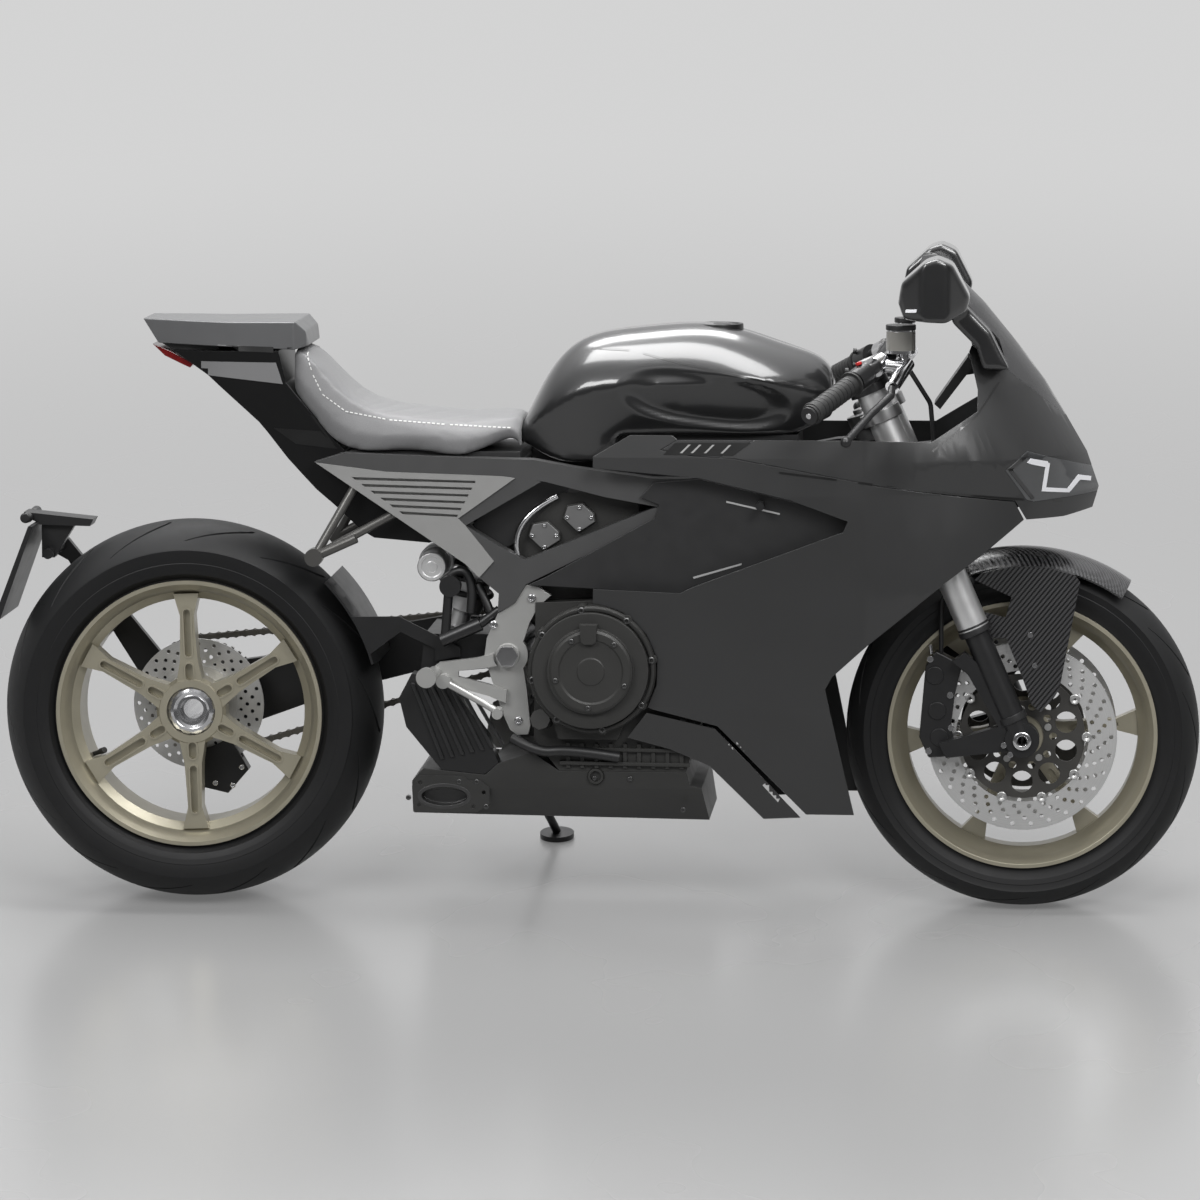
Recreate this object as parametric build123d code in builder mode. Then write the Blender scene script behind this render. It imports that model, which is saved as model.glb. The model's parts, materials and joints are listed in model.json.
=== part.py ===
from build123d import *
import os
from math import atan2, cos, degrees, hypot, pi, radians, sin, tan

os.makedirs("parts", exist_ok=True)

# ---------------------------------------------------------------- driving sizes, mm and degrees
# X runs forward, Y to the rider's left, Z up; the rear axle stands over x = 0 before the lean.
WHEELBASE = 1420.0
REAR_TYRE_R = 325.9
REAR_TYRE_HALF = 100.0
FRONT_TYRE_R = 299.9
FRONT_TYRE_HALF = 60.0
BEAD_SEAT_R = 218.3
FLANGE_HEIGHT = 10.2
RAKE = 23.7
FORK_OFFSET = 30.0
FORK_HALF = 105.0
FORK_TUBE_R = 26.5
STANCHION_R = 21.5
FRONT_DISC_R = 160.0
REAR_DISC_R = 113.0
DISC_T = 5.0
DISC_Y = 68.5
FRONT_AXLE_R = 12.5
REAR_AXLE_R = 25.0
CHAIN_PITCH = 15.875
REAR_TEETH = 41
FRONT_TEETH = 16
CHAIN_Y = 139.0
PIVOT_X = 553.0
PIVOT_Z = 440.0
PIVOT_R = 12.5
BEAM_OUT = 150.0
BEAM_IN = 115.0
SKIN = 4.0
CLUTCH_X = 697.0
CLUTCH_Z = 423.0
CLUTCH_R = 106.0
GRIP_R = 17.0
BAR_R = 11.0
LEAN = 11.0
STAND_PIVOT = (520.0, 176.0, 262.0)
STAND_FOOT = (600.0, 300.0, 0.0)

# Every plain outline is (x, z) in the bike's side view for this wheelbase; KX stretches it with the wheelbase.
KX = WHEELBASE / 1420.0


def side(points):
    """The side view's points, stretched with the wheelbase."""
    return [(x * KX, z) for x, z in points]


def plate(points, y_low, y_high, mode=Mode.ADD):
    """A slab between two y values whose side view is the outline."""
    with BuildSketch(Plane.XZ.offset(-y_high)) as outline:
        with BuildLine():
            Polyline(*side(points), close=True)
        make_face()
    extrude(outline.sketch, amount=y_high - y_low, mode=mode)


def plan_cut(points, z_low, z_high, mode=Mode.INTERSECT):
    """Trims the open part to a top-view outline of (x, y) points."""
    with BuildSketch(Plane.XY.offset(z_low)) as outline:
        with BuildLine():
            Polyline(*side(points), close=True)
        make_face()
    extrude(outline.sketch, amount=z_high - z_low, mode=mode)


def rod(start, end, radius, mode=Mode.ADD):
    """A round bar from one point to another."""
    a = Vector(*start)
    b = Vector(*end)
    with BuildSketch(Plane(origin=a, z_dir=b - a)) as outline:
        Circle(radius)
    extrude(outline.sketch, amount=(b - a).length, mode=mode)


def pin(x, z, y_low, y_high, radius, mode=Mode.ADD):
    """A round boss or hole along Y."""
    with BuildSketch(Plane.XZ.offset(-y_high)) as outline:
        with Locations((x, z)):
            Circle(radius)
    extrude(outline.sketch, amount=y_high - y_low, mode=mode)


def ring(x, z, profile, mode=Mode.ADD):
    """Turns a closed (y, r) profile about the wheel axle through (x, z)."""
    with BuildSketch(Plane(origin=(x, 0, z), x_dir=(0, 1, 0), z_dir=(-1, 0, 0))) as outline:
        with BuildLine():
            Polyline(*profile, close=True)
        make_face()
    revolve(outline.sketch, axis=Axis((x, 0, z), (0, 1, 0)), mode=mode)


def both(values):
    """Right-hand value followed by its left-hand mirror."""
    return (-values, values)


# ---------------------------------------------------------------- derived places
FLANGE_R = BEAD_SEAT_R + FLANGE_HEIGHT
REAR_SHOULDER_R = REAR_TYRE_R - 43.9
FRONT_SHOULDER_R = FRONT_TYRE_R - 30.9
BARREL_LIP_R = BEAD_SEAT_R + 3.7
BARREL_OUT_R = BEAD_SEAT_R - 7.3
BARREL_MID_R = BEAD_SEAT_R - 11.3
FRONT_X = WHEELBASE
FRONT_Z = FRONT_TYRE_R
REAR_Z = REAR_TYRE_R
UP_X = -sin(radians(RAKE))
UP_Z = cos(radians(RAKE))
AXIS_X = FRONT_X - FORK_OFFSET * UP_Z
AXIS_Z = FRONT_Z + FORK_OFFSET * UP_X
REAR_PITCH_R = CHAIN_PITCH / (2 * sin(pi / REAR_TEETH))
FRONT_PITCH_R = CHAIN_PITCH / (2 * sin(pi / FRONT_TEETH))
FRONT_SPROCKET = (622.0 * KX, 452.0)


def leg(s, y):
    """A point on the fork leg's centre line, s above the axle."""
    return (FRONT_X + s * UP_X, y, FRONT_Z + s * UP_Z)


def stem(s, y=0.0):
    """A point on the steering axis at the fork's level s."""
    return (AXIS_X + s * UP_X, y, AXIS_Z + s * UP_Z)


pieces = []

# ================================================================ rear wheel
# rear tyre: 200 mm wide on a 17 inch rim, hollow, beads seated inside the flanges
RB = BEAD_SEAT_R + 0.05
RH = REAR_TYRE_HALF
RO = REAR_TYRE_R
with BuildPart() as rear_tyre:
    with BuildSketch(Plane(origin=(0, 0, REAR_Z), x_dir=(0, 1, 0), z_dir=(-1, 0, 0))):
        with BuildLine():
            Line((61, RB), (76.9, RB))
            Line((76.9, RB), (76.9, FLANGE_R + 3))
            ThreePointArc((76.9, FLANGE_R + 3), (RH - 7, FLANGE_R + 21.5), (RH, REAR_SHOULDER_R))
            ThreePointArc((RH, REAR_SHOULDER_R), (0, RO), (-RH, REAR_SHOULDER_R))
            ThreePointArc((-RH, REAR_SHOULDER_R), (7 - RH, FLANGE_R + 21.5), (-76.9, FLANGE_R + 3))
            Line((-76.9, FLANGE_R + 3), (-76.9, RB))
            Line((-76.9, RB), (-61, RB))
            Line((-61, RB), (-66, FLANGE_R + 5.5))
            ThreePointArc((-66, FLANGE_R + 5.5), (18 - RH, FLANGE_R + 25.5), (11 - RH, REAR_SHOULDER_R - 4))
            ThreePointArc((11 - RH, REAR_SHOULDER_R - 4), (0, RO - 13), (RH - 11, REAR_SHOULDER_R - 4))
            ThreePointArc((RH - 11, REAR_SHOULDER_R - 4), (RH - 18, FLANGE_R + 25.5), (66, FLANGE_R + 5.5))
            Line((66, FLANGE_R + 5.5), (61, RB))
        make_face()
    revolve(axis=Axis((0, 0, REAR_Z), (0, 1, 0)))
pieces.append((rear_tyre, "rear_tyre"))

# rear rim: barrel with a drop centre, six spokes near the open side, broad hub with a recess for the ring nut
REAR_HUB_R = 60.0
NUT_R = 41.0
with BuildPart() as rear_rim:
    ring(0, REAR_Z, [(-84, BARREL_LIP_R), (-84, FLANGE_R), (-77, FLANGE_R), (-77, BEAD_SEAT_R), (-60, BEAD_SEAT_R),
                     (-46, BEAD_SEAT_R - 17.3), (46, BEAD_SEAT_R - 17.3), (60, BEAD_SEAT_R), (77, BEAD_SEAT_R),
                     (77, FLANGE_R), (84, FLANGE_R), (84, BARREL_LIP_R), (68, BARREL_OUT_R), (52, BARREL_MID_R),
                     (40, BEAD_SEAT_R - 24.3), (-40, BEAD_SEAT_R - 24.3), (-52, BARREL_MID_R), (-68, BARREL_OUT_R)])
    ring(0, REAR_Z, [(-58, REAR_AXLE_R), (-58, REAR_HUB_R - 6), (-50, REAR_HUB_R), (-14, REAR_HUB_R),
                     (36, 48), (36, REAR_AXLE_R)])
    for angle in (92, 32, -28, -88, 212, 152):
        with BuildSketch(Plane(origin=(0, -56, REAR_Z), x_dir=(cos(radians(angle)), 0, sin(radians(angle))),
                               z_dir=(0, 1, 0))):
            with BuildLine():
                Polyline((48, -23), (90, -15), (165, -12), (BEAD_SEAT_R - 15.3, -22), (BEAD_SEAT_R - 15.3, 22),
                         (165, 12), (90, 15), (48, 23), close=True)
            make_face()
        extrude(amount=36)
    ring(0, REAR_Z, [(-60, 0), (-60, NUT_R + 1), (-34, NUT_R + 1), (-34, 0)], Mode.SUBTRACT)
    pin(0, REAR_Z, -60, 40, REAR_AXLE_R, Mode.SUBTRACT)
pieces.append((rear_rim, "rear_rim"))

# hollow rear axle carried by the single-sided arm, with the ring nut on the open side
with BuildPart() as rear_axle:
    ring(0, REAR_Z, [(-46, 17), (-46, REAR_AXLE_R), (158, REAR_AXLE_R), (158, 17)])
    ring(0, REAR_Z, [(-52, 31), (-50, NUT_R - 2), (-48, NUT_R), (-34, NUT_R), (-34, REAR_AXLE_R - 1),
                     (-44, REAR_AXLE_R - 1), (-46, 31)])
pieces.append((rear_axle, "rear_axle"))

# rear brake disc on its dished carrier, bolted to the hub's inner end
with BuildPart() as rear_disc:
    ring(0, REAR_Z, [(36.0, REAR_AXLE_R + 5), (36.0, 68), (40, 68), (40, REAR_DISC_R), (40 + DISC_T, REAR_DISC_R),
                     (40 + DISC_T, 61), (40, 61), (40, REAR_AXLE_R + 5)])
pieces.append((rear_disc, "rear_disc"))

# rear sprocket on the outer end of the axle, its teeth just inside the chain's rollers
with BuildPart() as rear_sprocket:
    ring(0, REAR_Z, [(CHAIN_Y - 3, REAR_AXLE_R), (CHAIN_Y - 3, REAR_PITCH_R - 9), (CHAIN_Y + 3, REAR_PITCH_R - 9),
                     (CHAIN_Y + 3, 36), (CHAIN_Y + 14, 34), (CHAIN_Y + 14, REAR_AXLE_R)])
    with BuildSketch(Plane.XZ.offset(-CHAIN_Y - 3)):
        with Locations((0, REAR_Z)):
            with PolarLocations(REAR_PITCH_R - 9, REAR_TEETH):
                Rectangle(7, 6)
    extrude(amount=6)
    with BuildSketch(Plane.XZ.offset(-CHAIN_Y - 3)):
        with Locations((0, REAR_Z)):
            with PolarLocations(66, 6, start_angle=30):
                Circle(16)
    extrude(amount=6, mode=Mode.SUBTRACT)
pieces.append((rear_sprocket, "rear_sprocket"))

# ================================================================ front wheel
FH = FRONT_TYRE_HALF
FO = FRONT_TYRE_R
with BuildPart() as front_tyre:
    with BuildSketch(Plane(origin=(FRONT_X, 0, FRONT_Z), x_dir=(0, 1, 0), z_dir=(-1, 0, 0))):
        with BuildLine():
            Line((36, RB), (49.9, RB))
            Line((49.9, RB), (49.9, FLANGE_R + 3))
            ThreePointArc((49.9, FLANGE_R + 3), (FH - 3, FLANGE_R + 19.5), (FH, FRONT_SHOULDER_R))
            ThreePointArc((FH, FRONT_SHOULDER_R), (0, FO), (-FH, FRONT_SHOULDER_R))
            ThreePointArc((-FH, FRONT_SHOULDER_R), (3 - FH, FLANGE_R + 19.5), (-49.9, FLANGE_R + 3))
            Line((-49.9, FLANGE_R + 3), (-49.9, RB))
            Line((-49.9, RB), (-36, RB))
            Line((-36, RB), (-42, FLANGE_R + 3.5))
            ThreePointArc((-42, FLANGE_R + 3.5), (12 - FH, FLANGE_R + 21.5), (10 - FH, FRONT_SHOULDER_R - 5))
            ThreePointArc((10 - FH, FRONT_SHOULDER_R - 5), (0, FO - 11), (FH - 10, FRONT_SHOULDER_R - 5))
            ThreePointArc((FH - 10, FRONT_SHOULDER_R - 5), (FH - 12, FLANGE_R + 21.5), (42, FLANGE_R + 3.5))
            Line((42, FLANGE_R + 3.5), (36, RB))
        make_face()
    revolve(axis=Axis((FRONT_X, 0, FRONT_Z), (0, 1, 0)))
pieces.append((front_tyre, "front_tyre"))

with BuildPart() as front_rim:
    ring(FRONT_X, FRONT_Z, [(-57, BARREL_LIP_R), (-57, FLANGE_R), (-50, FLANGE_R), (-50, BEAD_SEAT_R),
                            (-34, BEAD_SEAT_R), (-24, BEAD_SEAT_R - 15.3), (24, BEAD_SEAT_R - 15.3),
                            (34, BEAD_SEAT_R), (50, BEAD_SEAT_R), (50, FLANGE_R), (57, FLANGE_R),
                            (57, BARREL_LIP_R), (42, BARREL_OUT_R), (30, BARREL_MID_R), (20, BEAD_SEAT_R - 22.3),
                            (-20, BEAD_SEAT_R - 22.3), (-30, BARREL_MID_R), (-42, BARREL_OUT_R)])
    ring(FRONT_X, FRONT_Z, [(-62, FRONT_AXLE_R + 0.05), (-62, 50), (-55, 50), (-48, 34), (-26, 29), (26, 29), (48, 34),
                            (55, 50), (62, 50), (62, FRONT_AXLE_R + 0.05)])
    for angle in (5, 65, 125, 185, 245, 305):
        with BuildSketch(Plane(origin=(FRONT_X, -13, FRONT_Z),
                               x_dir=(cos(radians(angle)), 0, sin(radians(angle))), z_dir=(0, 1, 0))):
            with BuildLine():
                Polyline((24, -20), (70, -12), (160, -10), (BEAD_SEAT_R - 18.3, -24), (BEAD_SEAT_R - 18.3, 24),
                         (160, 10), (70, 12), (24, 20), close=True)
            make_face()
        extrude(amount=26)
    pin(FRONT_X, FRONT_Z, -64, 64, FRONT_AXLE_R + 0.05, Mode.SUBTRACT)
pieces.append((front_rim, "front_rim"))

# a pair of large front discs on dark carriers
with BuildPart() as front_discs:
    for sign in (-1, 1):
        ring(FRONT_X, FRONT_Z, [(sign * 62.05, 36), (sign * 62.05, 117), (sign * 66, 117),
                                (sign * 66, FRONT_DISC_R), (sign * (66 + DISC_T), FRONT_DISC_R),
                                (sign * (66 + DISC_T), 109), (sign * 66, 109), (sign * 66, 36)])
pieces.append((front_discs, "front_discs"))

# ================================================================ fork and steering
with BuildPart() as fork_outer_tubes:
    for y in both(FORK_HALF):
        rod(leg(205, y), leg(672, y), FORK_TUBE_R)
        rod(leg(672, y), leg(682, y), 17)
pieces.append((fork_outer_tubes, "fork_outer_tubes"))

with BuildPart() as fork_sliders:
    for y in both(FORK_HALF):
        rod(leg(0, y), leg(205, y), STANCHION_R)
        pin(FRONT_X, FRONT_Z, y - 18, y + 18, 29)
    for low, high in ((-116, -90), (90, 116)):
        plate([(FRONT_X / KX - 12, 282), (FRONT_X / KX - 128, 268), (FRONT_X / KX - 140, 292), (FRONT_X / KX - 40, 322),
               (FRONT_X / KX - 92, 410), (FRONT_X / KX - 118, 432), (FRONT_X / KX - 98, 448), (FRONT_X / KX - 40, 400),
               (FRONT_X / KX - 10, 330)], low, high)
    pin(FRONT_X, FRONT_Z, -128, 128, FRONT_AXLE_R)
    pin(FRONT_X, FRONT_Z, -129, 129, 7, Mode.SUBTRACT)
pieces.append((fork_sliders, "fork_sliders"))

# fork clamps on the hollow stem; the stem turns in the frame's head tube
CLAMP_LEVELS = ((432, 30), (588, 20))
HEAD_LOW = 468.0
HEAD_HIGH = 582.0
STEM_R = 17.0
with BuildPart() as fork_clamps:
    for level, height in CLAMP_LEVELS:
        with BuildSketch(Plane(origin=stem(level), x_dir=(0, 1, 0), z_dir=(UP_X, 0, UP_Z))):
            with Locations((-FORK_HALF, -FORK_OFFSET), (FORK_HALF, -FORK_OFFSET)):
                Circle(FORK_TUBE_R + 9)
            Circle(33)
            with BuildLine():
                Polyline((-FORK_HALF, -FORK_OFFSET - 24), (FORK_HALF, -FORK_OFFSET - 24), (FORK_HALF, 2 - FORK_OFFSET),
                         (30, 22), (-30, 22), (-FORK_HALF, 2 - FORK_OFFSET), close=True)
            make_face()
        extrude(amount=height)
    rod(stem(440), stem(600), STEM_R)
    rod(stem(608), stem(616), 19)
    for y in both(FORK_HALF):
        rod(leg(400, y), leg(640, y), FORK_TUBE_R, Mode.SUBTRACT)
pieces.append((fork_clamps, "fork_clamps"))


def bar(t, sign, lift=0.0, lead=0.0):
    """A point along a clip-on bar: t runs from its clamp to its outer end."""
    return (FRONT_X - 231.5 - 119.5 * t + lead, sign * (140 + 195 * t), 945 - 78 * t + lift)


with BuildPart() as clip_on_bars:
    for sign in (-1, 1):
        rod(leg(640, sign * FORK_HALF), leg(668, sign * FORK_HALF), FORK_TUBE_R + 9)
        rod(leg(655, sign * (FORK_HALF + 18)), bar(0.0, sign), 13)
        rod(bar(-0.06, sign), bar(0.98, sign), BAR_R)
        rod(bar(0.27, sign), bar(0.43, sign), 20)
        rod(leg(600, sign * FORK_HALF), leg(680, sign * FORK_HALF), FORK_TUBE_R, Mode.SUBTRACT)
pieces.append((clip_on_bars, "clip_on_bars"))

with BuildPart() as grips:
    for sign in (-1, 1):
        rod(bar(0.45, sign), bar(1.0, sign), GRIP_R)
        rod(bar(0.45, sign), bar(0.47, sign), GRIP_R + 5)
        rod(bar(0.96, sign), bar(0.98, sign), GRIP_R + 2)
        rod(bar(0.3, sign), bar(0.98, sign), BAR_R, Mode.SUBTRACT)
pieces.append((grips, "grips"))

# master cylinders clamped to the bars, each with its reservoir pot
# sign of the side, pot radius, pot height
POTS = ((-1, 24, 46), (1, 17, 36))
with BuildPart() as master_cylinders:
    for sign, pot_r, pot_h in POTS:
        rod(bar(0.06, sign), bar(0.16, sign), 17)
        rod(bar(0.11, sign), bar(0.11, sign, -4, 40), 12)
        rod(bar(0.02, sign, -6, 38), bar(0.34, sign, -16, 52), 12)
        rod(bar(0.05, sign, -4, 38), bar(0.05, sign, 34, 30), 8)
        rod(bar(0.05, sign, 14, 30), bar(0.05, sign, 14 + pot_h, 30), pot_r)
    add(clip_on_bars.part, mode=Mode.SUBTRACT)
pieces.append((master_cylinders, "master_cylinders"))

LEVER_RUN = ((0.345, -16.5, 52.2), (0.42, -22, 60), (0.62, -34, 52), (0.98, -46, 56))
with BuildPart() as hand_levers:
    for sign in (-1, 1):
        places = [bar(t, sign, lift, lead) for t, lift, lead in LEVER_RUN]
        for start, end in zip(places, places[1:]):
            rod(start, end, 6.5)
        for place in places[1:]:
            with Locations(place):
                Sphere(6.5)
        with Locations(places[-1]):
            Sphere(9)
    add(master_cylinders.part, mode=Mode.SUBTRACT)
pieces.append((hand_levers, "hand_levers"))

# front fender: a thin arc over the tyre with a blade down each side to the axle foot
FENDER_GAP = 11.1
FENDER_R = FRONT_TYRE_R + FENDER_GAP
FENDER_HALF = 70.0
BLADE_Y = 92.0
with BuildPart() as front_fender:
    with BuildSketch(Plane(origin=(FRONT_X, 0, FRONT_Z), x_dir=(0, 1, 0), z_dir=(-1, 0, 0))) as fender_section:
        with BuildLine():
            ThreePointArc((-FENDER_HALF, FENDER_R - 24), (0, FENDER_R + 3), (FENDER_HALF, FENDER_R - 24))
            Line((FENDER_HALF, FENDER_R - 24), (FENDER_HALF + 2, FENDER_R - 21))
            ThreePointArc((FENDER_HALF + 2, FENDER_R - 21), (0, FENDER_R + 6), (-FENDER_HALF - 2, FENDER_R - 21))
            Line((-FENDER_HALF - 2, FENDER_R - 21), (-FENDER_HALF, FENDER_R - 24))
        make_face()
    revolve(axis=Axis((FRONT_X, 0, FRONT_Z), (0, 1, 0)))
    with BuildSketch(Plane.XZ.offset(-150)):
        with BuildLine():
            Polyline((FRONT_X, FRONT_Z), (FRONT_X + 400 * cos(radians(55)), FRONT_Z + 400 * sin(radians(55))),
                     (FRONT_X + 60, FRONT_Z + 430),
                     (FRONT_X + 400 * cos(radians(108)), FRONT_Z + 400 * sin(radians(108))), close=True)
        make_face()
    extrude(amount=300, mode=Mode.INTERSECT)
    for sign in (-1, 1):
        low, high = sorted((sign * (BLADE_Y - 4), sign * BLADE_Y))
        plate([(1338, 568), (1350, 580), (1400, 591), (1460, 590), (1506, 578), (1515, 566), (1482, 384), (1472, 368),
               (1451, 344), (1436, 356), (1419, 404), (1385, 485), (1400, 540)], low, high)
        low, high = sorted((sign * (FENDER_HALF - 2), sign * BLADE_Y))
        plate([(1350, 580), (1400, 591), (1460, 590), (1506, 578), (1504, 571), (1460, 583), (1400, 584), (1352, 573)],
              low, high)
        low, high = sorted((sign * (BLADE_Y - 4), sign * BLADE_Y))
        plate([(1346, 516), (1412, 500), (1410, 470), (1362, 470)], low, high)
    add(fork_outer_tubes.part, mode=Mode.SUBTRACT)
    add(fork_sliders.part, mode=Mode.SUBTRACT)
pieces.append((front_fender, "front_fender"))

# four-piston calipers straddling the discs, held by the fork feet
with BuildPart() as front_calipers:
    for sign in (-1, 1):
        low, high = sorted((sign * 52, sign * 89.9))
        plate([(1246, 300), (1256, 420), (1274, 446), (1318, 424), (1306, 372), (1300, 320), (1310, 268), (1262, 264)],
              low, high)
        ring(FRONT_X, FRONT_Z, [(sign * 61, 0), (sign * 61, FRONT_DISC_R + 6), (sign * 76, FRONT_DISC_R + 6),
                                (sign * 76, 0)], Mode.SUBTRACT)
        ring(FRONT_X, FRONT_Z, [(sign * 50, 0), (sign * 50, 118), (sign * 62, 118), (sign * 62, 0)], Mode.SUBTRACT)
pieces.append((front_calipers, "front_calipers"))

# brake hose: from the master cylinder down inside the right leg to its caliper, and across to the left one
with BuildPart() as brake_hoses:
    with BuildLine() as hose_line:
        FilletPolyline(bar(0.02, -1, -12, 38), (1262 * KX, -112, 868), (1268 * KX, -104, 800), (1340 * KX, -62, 640),
                       (1282 * KX, -72, 530), (1282 * KX, -72, 441), radius=24)
    with BuildSketch(Plane(origin=hose_line.line @ 0, z_dir=hose_line.line % 0)):
        Circle(4)
    sweep()
    add(master_cylinders.part, mode=Mode.SUBTRACT)
    add(front_calipers.part, mode=Mode.SUBTRACT)
    add(front_fender.part, mode=Mode.SUBTRACT)
pieces.append((brake_hoses, "brake_hoses"))

# ================================================================ engine and final drive
ENGINE_RIGHT = -150.0
ENGINE_LEFT = 126.0
ENGINE_FLOOR = 244.0
with BuildPart() as engine:
    plate([(600, 530), (597, 298), (640, ENGINE_FLOOR), (855, ENGINE_FLOOR), (880, 330), (800, 540)],
          ENGINE_RIGHT, ENGINE_LEFT)
    plate([(560, 590), (600, 520), (800, 520), (770, 700), (690, 715), (640, 712), (570, 640)], -106, 106)
    plate([(800, 310), (985, 410), (980, 540), (890, 610), (760, 540)], -118, 118)
    plate([(572, 300), (600, 300), (600, 335), (578, 335)], -127.9, 150)
pieces.append((engine, "engine"))

# covers: the stepped round clutch cover on the right, the generator's on the left, and two square
# cam covers on the right of the rear cylinder bank
with BuildPart() as engine_covers:
    pin(CLUTCH_X * KX, CLUTCH_Z, -196, ENGINE_RIGHT, CLUTCH_R)
    pin(CLUTCH_X * KX, CLUTCH_Z, -212, -196, CLUTCH_R - 8)
    pin(CLUTCH_X * KX, CLUTCH_Z, -222, -212, 72)
    plate([(640, 300), (740, 300), (760, 345), (760, 360), (620, 360)], -166, ENGINE_RIGHT)
    pin(768 * KX, 390, ENGINE_LEFT, 156, 80)
    pin(768 * KX, 390, 156, 164, 58)
    for x, z in ((613, 641), (672, 672)):
        plate([(x - 29, z - 2), (x - 2, z - 28), (x + 28, z - 8), (x + 26, z + 6), (x + 6, z + 25), (x - 22, z + 20)],
              -114, -106)
pieces.append((engine_covers, "engine_covers"))

with BuildPart() as front_sprocket:
    pin(FRONT_SPROCKET[0], FRONT_SPROCKET[1], ENGINE_LEFT, CHAIN_Y + 12, 15)
    pin(FRONT_SPROCKET[0], FRONT_SPROCKET[1], CHAIN_Y - 3, CHAIN_Y + 3, FRONT_PITCH_R - 9)
    with BuildSketch(Plane.XZ.offset(-CHAIN_Y - 3)):
        with Locations(FRONT_SPROCKET):
            with PolarLocations(FRONT_PITCH_R - 9, FRONT_TEETH):
                Rectangle(13, 6)
    extrude(amount=6)
pieces.append((front_sprocket, "front_sprocket"))

# drive chain: two side bands around both sprockets with a roller at every pitch
SPAN_X = FRONT_SPROCKET[0]
SPAN_Z = FRONT_SPROCKET[1] - REAR_Z
SPAN = hypot(SPAN_X, SPAN_Z)
SPAN_ANGLE = atan2(SPAN_Z, SPAN_X)
WRAP = pi / 2 - (REAR_PITCH_R - FRONT_PITCH_R) / SPAN
RUN = SPAN * sin(WRAP)
UP_ANGLE = SPAN_ANGLE + WRAP
DOWN_ANGLE = SPAN_ANGLE - WRAP


def chain_corner(centre, radius, angle):
    return (centre[0] + radius * cos(angle), centre[1] + radius * sin(angle))


def chain_loop(offset, y_low, y_high, mode=Mode.ADD):
    """A solid slab with the outline of the chain's run, offset from its pitch line."""
    rear = (0, REAR_Z)
    with BuildSketch(Plane.XZ.offset(-y_high)) as outline:
        with Locations(rear):
            Circle(REAR_PITCH_R + offset)
        with Locations(FRONT_SPROCKET):
            Circle(FRONT_PITCH_R + offset)
        with BuildLine():
            Polyline(chain_corner(rear, REAR_PITCH_R + offset, UP_ANGLE),
                     chain_corner(FRONT_SPROCKET, FRONT_PITCH_R + offset, UP_ANGLE),
                     chain_corner(FRONT_SPROCKET, FRONT_PITCH_R + offset, DOWN_ANGLE),
                     chain_corner(rear, REAR_PITCH_R + offset, DOWN_ANGLE), close=True)
        make_face()
    extrude(outline.sketch, amount=y_high - y_low, mode=mode)


def chain_place(distance):
    """The (x, z) place at a distance along the pitch line, from the rear end of the upper run."""
    front_arc = (UP_ANGLE - DOWN_ANGLE) * FRONT_PITCH_R
    if distance < RUN:
        start = chain_corner((0, REAR_Z), REAR_PITCH_R, UP_ANGLE)
        return (start[0] + distance * sin(UP_ANGLE), start[1] - distance * cos(UP_ANGLE))
    distance -= RUN
    if distance < front_arc:
        return chain_corner(FRONT_SPROCKET, FRONT_PITCH_R, UP_ANGLE - distance / FRONT_PITCH_R)
    distance -= front_arc
    if distance < RUN:
        start = chain_corner(FRONT_SPROCKET, FRONT_PITCH_R, DOWN_ANGLE)
        return (start[0] + distance * sin(DOWN_ANGLE), start[1] - distance * cos(DOWN_ANGLE))
    distance -= RUN
    return chain_corner((0, REAR_Z), REAR_PITCH_R, DOWN_ANGLE - distance / REAR_PITCH_R)


CHAIN_LENGTH = (2 * RUN + (UP_ANGLE - DOWN_ANGLE) * FRONT_PITCH_R
                + (2 * pi - UP_ANGLE + DOWN_ANGLE) * REAR_PITCH_R)
LINKS = round(CHAIN_LENGTH / CHAIN_PITCH)
with BuildPart() as drive_chain:
    chain_loop(6.5, CHAIN_Y - 8, CHAIN_Y - 5)
    chain_loop(6.5, CHAIN_Y + 5, CHAIN_Y + 8)
    chain_loop(-6.5, CHAIN_Y - 9, CHAIN_Y + 9, Mode.SUBTRACT)
    with BuildSketch(Plane.XZ.offset(-CHAIN_Y - 5)):
        with Locations(*[chain_place(k * CHAIN_LENGTH / LINKS) for k in range(LINKS)]):
            RegularPolygon(4.3, 6)
    extrude(amount=10)
    add(front_sprocket.part, mode=Mode.SUBTRACT)
pieces.append((drive_chain, "drive_chain"))

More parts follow.
